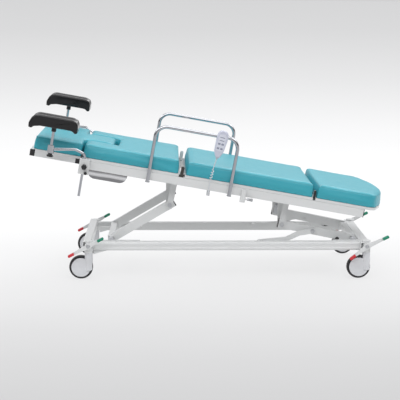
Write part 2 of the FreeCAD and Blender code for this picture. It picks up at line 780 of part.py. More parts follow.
def head_outline(inset):
    """Straight sides that run into a wide arc at the head end."""
    half = couch_half - inset
    side_s = head_side_s - inset
    tip = head_tip_s - inset
    start = head_foot_s - 3 + inset * 0.5
    edges = [Part.LineSegment(v(start, -half, 0), v(side_s, -half, 0)).toShape(),
             Part.Arc(v(side_s, -half, 0), v(side_s + 38, -half + 17, 0), v(side_s + 56, -half + 56, 0)).toShape(),
             Part.Arc(v(side_s + 56, -half + 56, 0), v(tip, 0, 0), v(side_s + 56, half - 56, 0)).toShape(),
             Part.Arc(v(side_s + 56, half - 56, 0), v(side_s + 38, half - 17, 0), v(side_s, half, 0)).toShape(),
             Part.LineSegment(v(side_s, half, 0), v(start, half, 0)).toShape(),
             Part.LineSegment(v(start, half, 0), v(start, -half, 0)).toShape()]
    return Part.Wire(edges)


head_cushion = Part.Face(head_outline(0)).extrude(v(0, 0, cushion_thick))
head_cushion = head_cushion.cut(block(head_foot_s - 10, head_foot_s, -400, 400, -5, 100))
keep("head_cushion", [round_top(head_cushion, cushion_thick, cushion_round)], on_couch)

head_board = Part.Face(head_outline(2)).extrude(v(0, 0, board_thick - slit))
head_board.translate(v(0, 0, -board_thick + slit))
head_leaves = []
for name, side in sides:
    leaf = hinge_leaf(head_hinge_s, head_foot_s - 2 - slit, side, 4.6)
    pin = bar(v(head_hinge_s, side * (couch_half - 4), hinge_t), v(head_hinge_s, side * (couch_half - 16.6), hinge_t), 3)
    head_leaves.append(fuse([leaf, pin]))
keep("head_board", [head_board] + head_leaves, on_couch)


# Side arches
def side_arch(side):
    """An inverted U of tube with a stop under each leg."""
    y = side * arch_y
    foot, head = arch_foot_s[side], arch_head_s[side]
    points = [v(foot, y, arch_low_t), v(foot, y, arch_top_t - arch_radius),
              v(head, y, arch_top_t - arch_radius), v(head, y, arch_low_t)]
    tube = swept(points, [arch_bend, arch_bend], arch_radius)
    tube = tube.cut(swept(points, [arch_bend, arch_bend], arch_radius - 1.5))
    stops = [bar(v(s, y, arch_low_t), v(s, y, arch_low_t - 6), 12) for s in (foot, head)]
    return [tube] + stops


for name, side in sides:
    keep("side_arch_" + name, side_arch(side), on_couch)


# Infusion pole socket and its clamping screw
socket_y = -(rail_face + socket_radius - 0.5)
socket = bar(v(socket_s, socket_y, socket_low_t), v(socket_s, socket_y, socket_high_t), socket_radius)
socket = socket.cut(block(socket_s - 20, socket_s + 20, -rail_face, 0, -100, 0))
socket_nose = bar(v(socket_s, socket_y, screw_t), v(socket_s + socket_radius + 3, socket_y, screw_t), 7)
socket = fuse([socket, socket_nose])
socket = socket.cut(bar(v(socket_s, socket_y, socket_low_t - 1), v(socket_s, socket_y, socket_high_t + 1),
                        socket_bore))
socket = socket.cut(bar(v(socket_s, socket_y, screw_t), v(socket_s + 30, socket_y, screw_t), 3 + fit))
keep("infusion_socket", [socket], on_couch)
wing = bar(v(socket_s + 23, socket_y, screw_t), v(socket_s + 31, socket_y, screw_t), 8)
wing_plate = side_plate([(socket_s + 29, screw_t - 6, 0), (socket_s + 54, screw_t - 9, 5),
                         (socket_s + 54, screw_t + 9, 5), (socket_s + 29, screw_t + 6, 0)],
                        socket_y - 2.5, socket_y + 2.5)
stud = bar(v(socket_s + socket_bore + 0.5, socket_y, screw_t), v(socket_s + 25, socket_y, screw_t), 3)
keep("socket_wing_screw", [fuse([wing, wing_plate, stud])], on_couch)


# Drain pan
pan_outer = [(pan_foot_s, pan_low_t, pan_round), (pan_head_s, pan_low_t, pan_round),
             (pan_head_s, pan_rim_t, 0), (pan_foot_s, pan_rim_t, 0)]
pan_inner = [(pan_foot_s + pan_wall, pan_low_t + pan_wall, pan_round - pan_wall),
             (pan_head_s - pan_wall, pan_low_t + pan_wall, pan_round - pan_wall),
             (pan_head_s - pan_wall, pan_rim_t + 1, 0), (pan_foot_s + pan_wall, pan_rim_t + 1, 0)]
pan = side_plate(pan_outer, -pan_half, pan_half).cut(side_plate(pan_inner, -pan_half + pan_wall, pan_half - pan_wall))
rim = block(pan_foot_s - 8, pan_head_s + 8, -pan_half - 12, pan_half + 12, pan_rim_t - 2, pan_rim_t)
rim = rim.cut(block(pan_foot_s + pan_wall, pan_head_s - pan_wall, -pan_half + pan_wall, pan_half - pan_wall,
                    pan_rim_t - 5, pan_rim_t + 5))
keep("drain_pan", [fuse([pan, rim])], on_couch)


# Leg supports
def pad(side):
    """A knee crutch: a loaf whose ends droop, hollowed across its top."""
    half = pad_length / 2
    outline = [(-half, 126, 4), (-half + 6, 152, 4), (-half + 26, 188, 9), (-half + 48, 199, 9),
               (half - 48, 199, 9), (half - 26, 190, 9), (half - 3, 160, 4), (half, 134, 4),
               (half - 14, 129, 4), (half - 34, 136, 4), (half - 60, 140, 4), (-half + 60, 140, 4),
               (-half + 34, 133, 4), (-half + 12, 123, 4)]
    corners = [(pad_s + a, t, radius) for a, t, radius in outline]
    y = side * post_y
    body = side_plate(corners, y - pad_width / 2, y + pad_width / 2)
    trough = Part.makeCylinder(150, pad_length + 20, v(pad_s - half - 10, y, 199 + 138), v(1, 0, 0))
    ears = []
    for way in (-1, 1):
        ear = fuse([block(post_s - 9, post_s + 9, y + way * 13, y + way * 18, pad_pivot_t, 141),
                    bar(v(post_s, y + way * 13, pad_pivot_t), v(post_s, y + way * 18, pad_pivot_t), 9)])
        ears.append(ear)
    whole = fuse([body.cut(trough)] + ears)
    return whole.cut(bar(v(post_s, y - 19, pad_pivot_t), v(post_s, y + 19, pad_pivot_t), 4 + fit))


for name, side in sides:
    lift = 0 if side < 0 else 30
    face = side * rail_face
    front = side * (rail_face + clamp_deep)
    clamp = block(clamp_s - clamp_width / 2, clamp_s + clamp_width / 2, face, front, -82, -3)
    clamp = clamp.cut(bar(v(rod_s, side * rod_y, -90), v(rod_s, side * rod_y, 5), rod_radius + fit))
    knob_bore = bar(v(clamp_knob_s, side * (rod_y + 2), -41), v(clamp_knob_s, front + side, -41), 4 + fit)
    plug = bar(v(clamp_s + 13, front, -74), v(clamp_s + 13, front + side * 11, -74), 8)
    keep("support_clamp_" + name, [clamp.cut(knob_bore), plug], on_couch)
    knob_stud = bar(v(clamp_knob_s, side * (rod_y + rod_radius + 1.5), -41),
                    v(clamp_knob_s, front + side * 4, -41), 4)
    knob_head = bar(v(clamp_knob_s, front + side * 3, -41), v(clamp_knob_s, front + side * 26, -41), 14)
    keep("clamp_knob_" + name, [fuse([knob_stud, knob_head])], on_couch)
    raised = v(0, 0, lift)
    rod = swept([v(rod_s, side * rod_y, rod_low_t) + raised, v(rod_s, side * rod_y, 19) + raised,
                 v(-766, side * (rod_y + 24), 40) + raised, v(post_s + 8, side * (post_y - 2), 27) + raised],
                [26, 40], rod_radius)
    block_solid = bar(v(post_s, side * post_y, 8) + raised, v(post_s, side * post_y, 48) + raised, 17)
    hole = bar(v(post_s, side * post_y, 0) + raised, v(post_s, side * post_y, 60) + raised, post_radius + fit)
    keep("support_rod_" + name, [fuse([rod, block_solid]).cut(hole)], on_couch)
    knob = bar(v(post_s, side * post_y, 7.4) + raised, v(post_s, side * post_y, -13) + raised, 17.5)
    keep("post_knob_" + name, [knob], on_couch)
    post = bar(v(post_s, side * post_y, 9) + raised, v(post_s, side * post_y, 122) + raised, post_radius)
    collar = bar(v(post_s, side * post_y, 118) + raised, v(post_s, side * post_y, pad_pivot_t + 6) + raised, 12)
    pin = bar(v(post_s, side * (post_y - 17), pad_pivot_t) + raised,
              v(post_s, side * (post_y + 17), pad_pivot_t) + raised, 4)
    keep("support_post_" + name, [fuse([post, collar, pin])], on_couch)
    crutch = pad(side)
    crutch.translate(raised)
    keep("knee_pad_" + name, [crutch], on_couch)


# Hand control on the near arch, drawn upright and then leaned
control_turn = Placement(v(-46, 0, 123), Rotation(v(0, 1, 0), control_lean))
on_control = [control_turn, couch_place]
key_rows = (52, 76)
key_columns = (-9, 9)
front_y = -(control_y + control_thick)
handset = side_plate([(-8, 0, 3), (8, 0, 3), (25, 34, 20), (29, 118, 14), (25, 145, 14), (-25, 145, 14),
                      (-29, 118, 14), (-25, 34, 20)], -control_y, front_y)
hook_y = arch_y - 15.5
hook = cross_section([(-control_y, 121.4, 0), (-control_y, 124.4, 0), (-hook_y, 124.4, 4), (-hook_y, 96, 0),
                      (-hook_y - 3, 96, 0), (-hook_y - 3, 121.4, 1)], -11, 11)
keys = []
for row in key_rows:
    for column in key_columns:
        keys.append((column, row))
        handset = handset.cut(block(column - 6.8, column + 6.8, front_y - 1, front_y + 4, row - 5.3, row + 5.3))
handset = handset.cut(bar(v(0, -(control_y + control_thick / 2), -1), v(0, -(control_y + control_thick / 2), 12),
                          cord_radius + 0.05))
keep("hand_control", [handset, hook], on_control)
for number, (column, row) in enumerate(keys, 1):
    key = block(column - 6.3, column + 6.3, front_y - 1.2, front_y + 2.2, row - 4.8, row + 4.8)
    keep("control_key_%d" % number, [key], on_control)


# Cord of the hand control
cord_start = control_turn.multVec(v(0, -(control_y + control_thick / 2), -0.2))
cord_points = [v(-49.5, -control_y - 12.5, 98), v(-52.5, -control_y - 11.5, 78), v(-54.0, -control_y - 9.5, 62)]
curl_low = v(-58.0, -control_y - 0.5, 2)
cord_lower = [v(-58.4, -rail_face - 21, -16), v(-58.0, -rail_face - 15, -36), v(-56.0, -rail_face - 11, -52),
              v(-55.0, -rail_face - 10, gland_t)]


def cord_run(points, start_run=0.45):
    radii = []
    for i in range(1, len(points) - 1):
        a = points[i] - points[i - 1]
        b = points[i + 1] - points[i]
        turn = math.acos(max(-1.0, min(1.0, a.normalize().dot(b.normalize()))))
        shorter = min((points[i] - points[i - 1]).Length, (points[i + 1] - points[i]).Length)
        radii.append(start_run * shorter / math.tan(turn / 2))
    print("cord radii", [round(r, 1) for r in radii])
    return swept(points, radii, cord_radius)


upper_cord = cord_run([cord_start] + cord_points)
lower_cord = cord_run([curl_low] + cord_lower)
curl = bar(cord_points[-1], curl_low, curl_radius)
keep("control_cord", [upper_cord.cut(curl), lower_cord.cut(curl)], on_couch)
keep("control_cord_curl", [curl], on_couch)
gland = fuse([block(-63, -47, -rail_face + 1, -rail_face + 16, rail_low_t, gland_t - 16),
              block(-63, -47, -rail_face + 1, -rail_face - 19, gland_t, gland_t - 16)])
keep("cord_gland", [gland], on_couch)


os.makedirs("parts", exist_ok=True)
low = v(1e9, 1e9, 1e9)
high = v(-1e9, -1e9, -1e9)
for name, solids in parts.items():
    shape = Part.makeCompound(solids) if len(solids) > 1 else solids[0]
    if not shape.isValid():
        print("not valid", name)
    shape.exportStep("parts/" + name + ".step")
    box = shape.BoundBox
    low = v(min(low.x, box.XMin), min(low.y, box.YMin), min(low.z, box.ZMin))
    high = v(max(high.x, box.XMax), max(high.y, box.YMax), max(high.z, box.ZMax))
print("nodes", len(parts), "solids", sum(len(s) for s in parts.values()))
print("box", low, high)
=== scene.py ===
import math

import bmesh
import bpy
import numpy as np
from mathutils import Matrix, Vector


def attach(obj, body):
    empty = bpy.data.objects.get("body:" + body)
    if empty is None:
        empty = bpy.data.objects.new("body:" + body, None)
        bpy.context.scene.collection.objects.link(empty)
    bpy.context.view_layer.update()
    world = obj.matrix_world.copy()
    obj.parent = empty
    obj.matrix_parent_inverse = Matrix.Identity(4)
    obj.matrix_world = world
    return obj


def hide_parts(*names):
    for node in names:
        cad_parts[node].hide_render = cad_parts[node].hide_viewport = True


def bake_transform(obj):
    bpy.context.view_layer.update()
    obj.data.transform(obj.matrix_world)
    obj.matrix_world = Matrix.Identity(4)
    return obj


bl_info = {
    "name": "Examination bed",
    "version": (1, 0, 0),
    "blender": (4, 5, 0),
    "location": "View3D > Sidebar > Bed",
    "description": "Dresses the packed examination bed with its upholstery, metalwork and small fittings",
    "category": "Object",
}

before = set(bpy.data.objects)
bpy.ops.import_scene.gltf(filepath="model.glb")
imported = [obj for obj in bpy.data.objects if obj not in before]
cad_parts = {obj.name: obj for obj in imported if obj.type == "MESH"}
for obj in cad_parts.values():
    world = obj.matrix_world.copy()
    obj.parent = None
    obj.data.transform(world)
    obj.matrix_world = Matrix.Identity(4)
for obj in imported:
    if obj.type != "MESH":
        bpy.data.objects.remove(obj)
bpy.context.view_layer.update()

# Sizes shared with the part, in millimetres unless said otherwise
MID_X = 48.3
COUCH_HEIGHT = 520.8
COUCH_TILT = math.radians(10.11)
CORD_ROUTE = [(-46.0, -339.5, 122.8), (-49.5, -339.0, 98.0), (-52.5, -338.0, 78.0), (-54.0, -336.0, 62.0)]
CURL_START = (-54.0, -336.0, 62.0)
CURL_END = (-58.0, -327.0, 2.0)
CORD_TAIL = [(-58.4, -324.0, -16.0), (-58.0, -318.0, -36.0), (-56.0, -314.0, -52.0), (-55.0, -313.0, -66.0)]
CURL_RADIUS = 8.0
SEAM_RISE = 61.0
HEAD_LINK_PIN = (495.14, 237.06)
LEVERS = {"foot": ((-692.4, 181.0), (-83, -44), (60, 33)), "head": ((769.4, 178.0), (-69, -54), (92, 44))}
PLATE_SHORT = 11.9
WHEEL_X, WHEEL_Y, WHEEL_RADIUS = 732.4, 280.0, 62.5
BUFFER_X, BUFFER_Y = 625.7, 216.0
SUPPORT_Y, POST_S, PAD_S, CLAMP_S = 390.0, -886.0, -888.0, -708.0
FAR_RAISED = 30.0
CONTROL_PLACE, CONTROL_LEAN = (-46.0, 123.0), math.radians(5.2)
PAN_FOOT_S, PAN_HEAD_S, PAN_HALF, PAN_RIM_T, PAN_RIM_RADIUS = -702.4, -478.6, 159.4, -63.0, 2.4

# The photograph's camera: focal length in pixels, place in millimetres, turns in radians
FOCAL_PIXELS, PICTURE_PIXELS = 1117.88, 400.0
CAMERA_PLACE = (-259.9, -6017.4, 1498.3)
CAMERA_YAW, CAMERA_PITCH, CAMERA_ROLL = 0.0265, 0.1858, 0.0042

FLOOR_RADIUS = 160.0
# Painted light of the floor: the brightness of its glow against 1.5 m over the distance from the camera's own
# line
FLOOR_GLOW_TONES = [(0.0, 0.631), (0.035, 0.672), (0.0791, 0.783), (0.1239, 0.922), (0.168, 1.0), (0.2, 0.985),
               (0.216, 0.965), (0.263, 0.86), (0.282, 0.823), (0.311, 0.737), (0.34, 0.679), (0.378, 0.631)]


# Places

def from_base(points):
    """Base coordinates in millimetres from the middle of the wheelbase, to metres in the row frame."""
    points = np.asarray(points, float)
    return (points + np.array([MID_X, 0.0, 0.0])) / 1000.0


def from_couch(points):
    """Couch coordinates (s along, y across, t up) turned by the couch's tilt and lifted to its height."""
    points = np.asarray(points, float)
    s, y, t = points[..., 0], points[..., 1], points[..., 2]
    x = MID_X + s * math.cos(COUCH_TILT) + t * math.sin(COUCH_TILT)
    z = COUCH_HEIGHT - s * math.sin(COUCH_TILT) + t * math.cos(COUCH_TILT)
    return np.stack([x, y, z], axis=-1) / 1000.0


# Shapes worked out as whole arrays

def grid_faces(rows, columns, wrap_rows=False, wrap_columns=False):
    """Four-sided faces between the points of a rows by columns grid, closed on itself where asked."""
    r = np.arange(rows if wrap_rows else rows - 1)
    c = np.arange(columns if wrap_columns else columns - 1)
    r, c = np.meshgrid(r, c, indexing="ij")
    r2, c2 = (r + 1) % rows, (c + 1) % columns
    quads = np.stack([r * columns + c, r * columns + c2, r2 * columns + c2, r2 * columns + c], axis=-1)
    return quads.reshape(-1, 4).tolist()


def cover(mesh, finish):
    """Gives a whole mesh one finish and smooth faces."""
    mesh.materials.clear()
    mesh.materials.append(finish)
    mesh.polygons.foreach_set("use_smooth", np.ones(len(mesh.polygons), bool))


def place_piece(name, mesh, finish, smooth=None):
    """A visible object of a finished mesh, with smooth faces and edges sharp above an angle."""
    mesh.name = name
    cover(mesh, finish)
    if smooth is not None:
        mesh.set_sharp_from_angle(angle=math.radians(smooth))
    piece = bpy.data.objects.new(name, mesh)
    bpy.context.scene.collection.objects.link(piece)
    return piece


def mesh_points(mesh, field="co"):
    """Places or normals of a mesh's vertices as one array."""
    values = np.zeros(len(mesh.vertices) * 3)
    mesh.vertices.foreach_get(field, values)
    return values.reshape(-1, 3)


def finer_outline(outline, step):
    """A closed outline with its long edges cut into equal lengths near the step."""
    fine = []
    for a, b in zip(outline, np.roll(outline, -1, axis=0)):
        count = max(1, int(np.linalg.norm(b - a) / step))
        fine += list(a + (b - a) * np.linspace(0, 1, count, endpoint=False)[:, None])
    return np.array(fine)


def make_piece(name, points, faces, finish, smooth=40.0):
    """A mesh object at the origin with its place in its points and its faces turned outwards."""
    mesh = bpy.data.meshes.new(name)
    mesh.from_pydata(np.asarray(points, float).reshape(-1, 3).tolist(), [], faces)
    form = bmesh.new()
    form.from_mesh(mesh)
    bmesh.ops.remove_doubles(form, verts=form.verts, dist=1e-6)
    bmesh.ops.recalc_face_normals(form, faces=form.faces)
    form.to_mesh(mesh)
    form.free()
    return place_piece(name, mesh, finish, smooth)


def grid_piece(name, grid, finish, wrap_rows=False, wrap_columns=False, caps=False, smooth=40.0):
    """A surface from a rows by columns by 3 array, with its first and last rows capped where asked."""
    rows, columns = grid.shape[:2]
    faces = grid_faces(rows, columns, wrap_rows, wrap_columns)
    if caps:
        faces.append(list(range(columns)))
        faces.append(list(range((rows - 1) * columns, rows * columns)))
    return make_piece(name, grid, faces, finish, smooth)


def turned(profile, centre, axis, steps):
    """Points of a profile of (distance along the axis, radius) pairs swung round that axis."""
    profile = np.asarray(profile, float)
    axis = np.asarray(axis, float) / np.linalg.norm(axis)
    side = np.cross(axis, [0.0, 0.0, 1.0] if abs(axis[2]) < 0.9 else [1.0, 0.0, 0.0])
    side /= np.linalg.norm(side)
    other = np.cross(axis, side)
    angle = np.linspace(0, 2 * math.pi, steps, endpoint=False)
    ring = np.cos(angle)[:, None] * side + np.sin(angle)[:, None] * other
    return (np.asarray(centre, float) + profile[:, 0, None, None] * axis
            + profile[:, 1, None, None] * ring[None, :, :])


def turned_piece(name, profile, centre, axis, finish, place, steps):
    """A piece of revolution: its profile is swung round the axis."""
    return grid_piece(name, place(turned(profile, centre, axis, steps)), finish, wrap_columns=True)


def rounded_outline(corners, step):
    """A closed outline of (a, b, radius) corners, each replaced by points on its tangent arc."""
    corners = [np.asarray(c, float) for c in corners]
    out = []
    for i, corner in enumerate(corners):
        here, radius = corner[:2], corner[2]
        if radius <= 0:
            out.append(here)
            continue
        into = corners[i - 1][:2] - here
        ahead = corners[(i + 1) % len(corners)][:2] - here
        into, ahead = into / np.linalg.norm(into), ahead / np.linalg.norm(ahead)
        turn = math.acos(float(np.clip(into @ ahead, -1, 1)))
        first = here + into * radius / math.tan(turn / 2)
        middle = here + (into + ahead) / np.linalg.norm(into + ahead) * radius / math.sin(turn / 2)
        angle = np.linspace(0, math.pi - turn, step)
        start = first - middle
        out += list(middle + np.cos(angle)[:, None] * start - np.sin(angle)[:, None] * into * radius)
    return np.array(out)


def inward(outline):
    """Unit normals of a closed outline that point to its inside, halfway between its two edges."""
    ahead = np.roll(outline, -1, axis=0) - outline
    behind = outline - np.roll(outline, 1, axis=0)
    ahead /= np.maximum(np.linalg.norm(ahead, axis=1), 1e-9)[:, None]
    behind /= np.maximum(np.linalg.norm(behind, axis=1), 1e-9)[:, None]
    run = ahead + behind
    run /= np.maximum(np.linalg.norm(run, axis=1), 1e-9)[:, None]
    area = np.sum(outline[:, 0] * np.roll(outline[:, 1], -1) - np.roll(outline[:, 0], -1) * outline[:, 1])
    return np.stack([-run[:, 1], run[:, 0]], axis=1) * (1.0 if area > 0 else -1.0)


def slab_rings(outline, low, high, round_low, round_high, steps=5, middle=2):
    """Rings of a slab: the outline at each height, drawn in by a quarter round towards both faces."""
    normal = inward(outline)
    rings = []
    for k in np.linspace(0, 1, steps):
        swing = k * math.pi / 2
        rings.append((round_low * (1 - math.sin(swing)), low + round_low * (1 - math.cos(swing))))
    for k in np.linspace(0, 1, middle + 2)[1:-1]:
        rings.append((0.0, low + round_low + (high - low - round_low - round_high) * k))
    for k in np.linspace(0, 1, steps):
        swing = k * math.pi / 2
        rings.append((round_high * (1 - math.cos(swing)), high - round_high * (1 - math.sin(swing))))
    return np.array([np.column_stack([outline + normal * inset, np.full(len(outline), height)])
                     for inset, height in rings])


def merge_grids(grids):
    """Points and faces of several closed-ring grids put together in one mesh."""
    points, faces, start = [], [], 0
    for grid in grids:
        rows, columns = grid.shape[:2]
        faces += [[i + start for i in face] for face in grid_faces(rows, columns, wrap_columns=True)]
        points.append(grid.reshape(-1, 3))
        start += rows * columns
    return np.concatenate(points), faces


def seat_on(piece, body, slot, *nodes):
    """Lets a piece ride on its body and takes the place of CAD nodes; its slot is not used."""
    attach(piece, body)
    if nodes:
        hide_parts(*nodes)
    return piece


def couch_view(points):
    """Row-frame metres turned back into couch coordinates in millimetres."""
    x, z = points[..., 0] * 1000.0 - MID_X, points[..., 2] * 1000.0 - COUCH_HEIGHT
    s = x * math.cos(COUCH_TILT) - z * math.sin(COUCH_TILT)
    t = x * math.sin(COUCH_TILT) + z * math.cos(COUCH_TILT)
    return s, points[..., 1] * 1000.0, t


def base_view(points):
    """Row-frame metres turned back into base coordinates in millimetres."""
    return points[..., 0] * 1000.0 - MID_X, points[..., 1] * 1000.0, points[..., 2] * 1000.0


def dressed(node, body, finish, slot, edge=0.8, part="", keep=None, view=couch_view):
    """A merged copy of a CAD node with a small round on its sharp edges. A part of the node is made
    of the faces whose middle passes the test; the first part takes the node's place."""
    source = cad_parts[node].data
    mesh = source.copy()
    form = bmesh.new()
    form.from_mesh(mesh)
    if keep is not None:
        middles = np.zeros(len(source.polygons) * 3)
        source.polygons.foreach_get("center", middles)
        chosen = keep(*view(middles.reshape(-1, 3)))
        form.faces.ensure_lookup_table()
        bmesh.ops.delete(form, geom=[form.faces[i] for i in np.nonzero(~chosen)[0]], context="FACES")
    bmesh.ops.remove_doubles(form, verts=form.verts, dist=2e-5)
    bmesh.ops.dissolve_limit(form, angle_limit=math.radians(0.6), verts=form.verts, edges=form.edges)
    form.to_mesh(mesh)
    form.free()
    piece = place_piece(node + part + "_dressed", mesh, finish, 32)
    soften = piece.modifiers.new("soften", "BEVEL")
    soften.width = edge / 1000.0
    soften.segments = 2
    soften.limit_method = "ANGLE"
    soften.angle_limit = math.radians(38)
    soften.harden_normals = True
    soften.miter_outer = "MITER_ARC"
    replaced = [] if part else [node]
    return seat_on(piece, body, slot, *replaced)


# Materials

class Wire:
    """A node's output that Python operators act on, each one adding its Math node."""

    def __init__(self, tree, socket):
        self.tree = tree
        self.socket = socket

    def _math(self, operation, first, second):
        node = self.tree.nodes.new("ShaderNodeMath")
        node.operation = operation
        for place, value in enumerate((first, second)):
            if isinstance(value, Wire):
                self.tree.links.new(value.socket, node.inputs[place])
            elif value is not None:
                node.inputs[place].default_value = float(value)
        return Wire(self.tree, node.outputs[0])

    def __add__(self, other):
        return self._math("ADD", self, other)

    def __radd__(self, other):
        return self._math("ADD", other, self)

    def __sub__(self, other):
        return self._math("SUBTRACT", self, other)

    def __rsub__(self, other):
        return self._math("SUBTRACT", other, self)

    def __mul__(self, other):
        return self._math("MULTIPLY", self, other)

    def __truediv__(self, other):
        return self._math("DIVIDE", self, other)

    def __rtruediv__(self, other):
        return self._math("DIVIDE", other, self)

    def above(self, limit):
        return self._math("GREATER_THAN", self, limit)

    def most(self, other):
        return self._math("MAXIMUM", self, other)

    def least(self, other):
        return self._math("MINIMUM", self, other)

    def size(self):
        return self._math("ABSOLUTE", self, None)


class Finish:
    """A node material: fixed numbers on the shader's sockets, nodes for what changes over the surface."""

    def __init__(self, name, **fixed):
        self.material = bpy.data.materials.new(name)
        self.material.use_nodes = True
        self.tree = self.material.node_tree
        self.shader = self.tree.nodes["Principled BSDF"]
        for socket, value in fixed.items():
            self.shader.inputs[socket.replace("_", " ")].default_value = value

    def add(self, kind, settings=None, inputs=None, output=0):
        """One node: its settings first, a ramp's stops among them, then the values or links of its sockets."""
        node = self.tree.nodes.new(kind)
        for key, value in (settings or {}).items():
            if key == "stops":
                ramp = node.color_ramp
                while len(ramp.elements) < len(value):
                    ramp.elements.new(0.5)
                for element, (place, colour) in zip(ramp.elements, value):
                    element.position = place
                    element.color = colour
            else:
                setattr(node, key, value)
        for key, value in (inputs or {}).items():
            if isinstance(value, Wire):
                self.tree.links.new(value.socket, node.inputs[key])
            else:
                node.inputs[key].default_value = value
        return Wire(self.tree, node.outputs[output])

    def place(self, scale=(1.0, 1.0, 1.0)):
        where = self.add("ShaderNodeTexCoord", output=3)
        return self.add("ShaderNodeMapping", None, {"Vector": where, "Scale": scale})

    def noise(self, scale, detail=3.0, roughness=0.5, where=None):
        return self.add("ShaderNodeTexNoise", None, {"Vector": where or self.place(), "Scale": scale,
                                                     "Detail": detail, "Roughness": roughness})

    def cells(self, scale, feature="F1"):
        return self.add("ShaderNodeTexVoronoi", {"feature": feature},
                        {"Vector": self.place(), "Scale": scale})

    def blend(self, mask, low, high):
        return self.add("ShaderNodeMix", {"data_type": "RGBA"}, {0: mask, 6: low, 7: high}, output=2)

    def feed(self, socket, wire):
        self.tree.links.new(wire.socket, self.shader.inputs[socket])

    def relief(self, height, distance, strength=1.0):
        bump = self.add("ShaderNodeBump", None, {"Height": height, "Distance": distance, "Strength": strength})
        self.feed("Normal", bump)


def shade(colour, share):
    """A colour made lighter or darker by a share."""
    return tuple(min(1.0, c * share) for c in colour[:3]) + (1.0,)


finishes = {}

# Moulded plastics and rubbers: key, material, colour, roughness and grain
MOULDED = (("black", "black_moulding", (0.018, 0.018, 0.02), 0.4, 700.0),
           ("castor", "light_grey_moulding", (0.62, 0.63, 0.65), 0.42, 700.0),
           ("tyre", "black_tyre_rubber", (0.02, 0.02, 0.022), 0.55, 500.0),
           ("handset", "pale_handset_plastic", (0.56, 0.58, 0.68), 0.38, 900.0),
           ("keypad", "keypad_film", (0.66, 0.68, 0.76), 0.3, 1200.0),
           ("key", "key_rubber", (0.26, 0.28, 0.36), 0.5, 900.0),
           ("grey", "pale_grey_plastic", (0.5, 0.51, 0.53), 0.45, 700.0),
           ("cord", "cord_sheath", (0.62, 0.65, 0.68), 0.4, 1500.0),
           ("red", "red_pedal_rubber", (0.55, 0.03, 0.04), 0.5, 600.0),
           ("green", "green_pedal_rubber", (0.01, 0.22, 0.13), 0.5, 600.0))


def couch_rise(f):
    """Height above the underside of the cushions, in millimetres, read from the object coordinates."""
    where = f.add("ShaderNodeTexCoord", output=3)
    x = f.add("ShaderNodeSeparateXYZ", None, {0: where}, output=0)
    z = f.add("ShaderNodeSeparateXYZ", None, {0: where}, output=2)
    start = MID_X * math.sin(COUCH_TILT) + COUCH_HEIGHT * math.cos(COUCH_TILT)
    return (x * math.sin(COUCH_TILT) + z * math.cos(COUCH_TILT)) * 1000.0 - start


def upholstery_finish(colour):
    """Artificial leather: fine pebble grain, slow colour change, a soft sheen, and the sewn seam that
    runs round each cushion just under its top edge, pressed in as a groove whose darkening is painted shade."""
    f = Finish("turquoise_artificial_leather", Specular_IOR_Level=0.5)
    grain = f.cells(900.0) * 0.6 + f.cells(430.0, feature="SMOOTH_F1") * 0.5
    slow = f.noise(3.5, 4.0)
    fine = f.noise(160.0, 2.0)
    seam = 1.0 - ((couch_rise(f) - SEAM_RISE).size() * 0.6).least(1.0)
    thread = (f.noise(330.0, 1.0) - 0.42).above(0.0) * seam
    tone = (slow - 0.5) * 0.5 + (fine - 0.5) * 0.12 + 0.5
    plain = f.blend(tone, shade(colour, 0.92), shade(colour, 1.08))
    # Painted shade: the seam band is darkened towards 0.45 of the colour as shade in its groove; the thread's
    # dashes add their own darker stitches
    f.feed("Base Color", f.blend(seam * 0.55 + thread * 0.1, plain, shade(colour, 0.45)))
    f.feed("Roughness", 0.42 + (f.noise(28.0) - 0.5) * 0.12 - grain * 0.06)
    f.relief(grain + f.noise(11.0, 3.0) * 0.8 - seam * 1.6, 0.0004, 0.5)
    return f.material


def paint_finish(colour):
    """Powder coat: a fine orange-peel ripple, faint dust in the tone and slightly worn sheen."""
    f = Finish("white_powder_coat", Specular_IOR_Level=0.5)
    ripple = f.noise(420.0, 2.0, 0.6)
    slow = f.noise(4.0, 3.0)
    f.feed("Base Color", f.blend(slow, shade(colour, 0.965), shade(colour, 1.02)))
    f.feed("Roughness", 0.36 + (f.noise(60.0) - 0.5) * 0.08)
    f.relief(ripple, 0.00012, 0.5)
    return f.material


def chrome_finish():
    """Bright chrome with faint haze and hairline polishing marks."""
    f = Finish("bright_chrome", Metallic=1.0)
    haze = f.noise(35.0, 4.0)
    f.feed("Base Color", f.blend(haze, (0.44, 0.45, 0.48, 1), (0.56, 0.57, 0.6, 1)))
    f.feed("Roughness", 0.05 + haze * 0.05)
    f.relief(f.noise(300.0, 2.0), 0.00003, 0.4)
    return f.material


def pan_painted_reflection_finish():
    """Polished stainless steel whose colour carries painted reflections: light and dark bands painted by
    height up its wall, wavering slowly along its length.
    """
    f = Finish("polished_steel_painted_reflections", Metallic=1.0)
    reflection_wave = (f.noise(7.0, 2.0) - 0.5) * 9.0
    place = (couch_rise(f) + reflection_wave + 113.0) / 46.0
    # Painted reflections: dark and bright bands of the base colour by height stand in for the room mirrored in
    # the steel
    stops = [(0.0, (0.3, 0.3, 0.31, 1)), (0.1, (0.75, 0.75, 0.77, 1)), (0.3, (0.92, 0.92, 0.94, 1)),
             (0.5, (0.4, 0.4, 0.41, 1)), (0.62, (0.28, 0.27, 0.28, 1)), (0.75, (0.8, 0.8, 0.82, 1)),
             (1.0, (0.9, 0.9, 0.91, 1))]
    f.feed("Base Color", f.add("ShaderNodeValToRGB", {"stops": stops}, {0: place}))
    f.feed("Roughness", 0.14 + f.noise(60.0) * 0.1)
    return f.material


def steel_finish(name, colour, rough):
    """Plated steel with fine marks in its tone, sheen and surface."""
    f = Finish(name, Metallic=1.0)
    marks = f.noise(1.0, 4.0, 0.6, f.place((200.0, 200.0, 200.0)))
    f.feed("Base Color", f.blend(marks, shade(colour, 0.88), shade(colour, 1.06)))
    f.feed("Roughness", rough + marks * 0.12)
    f.relief(marks, 0.00006, 0.4)
    return f.material


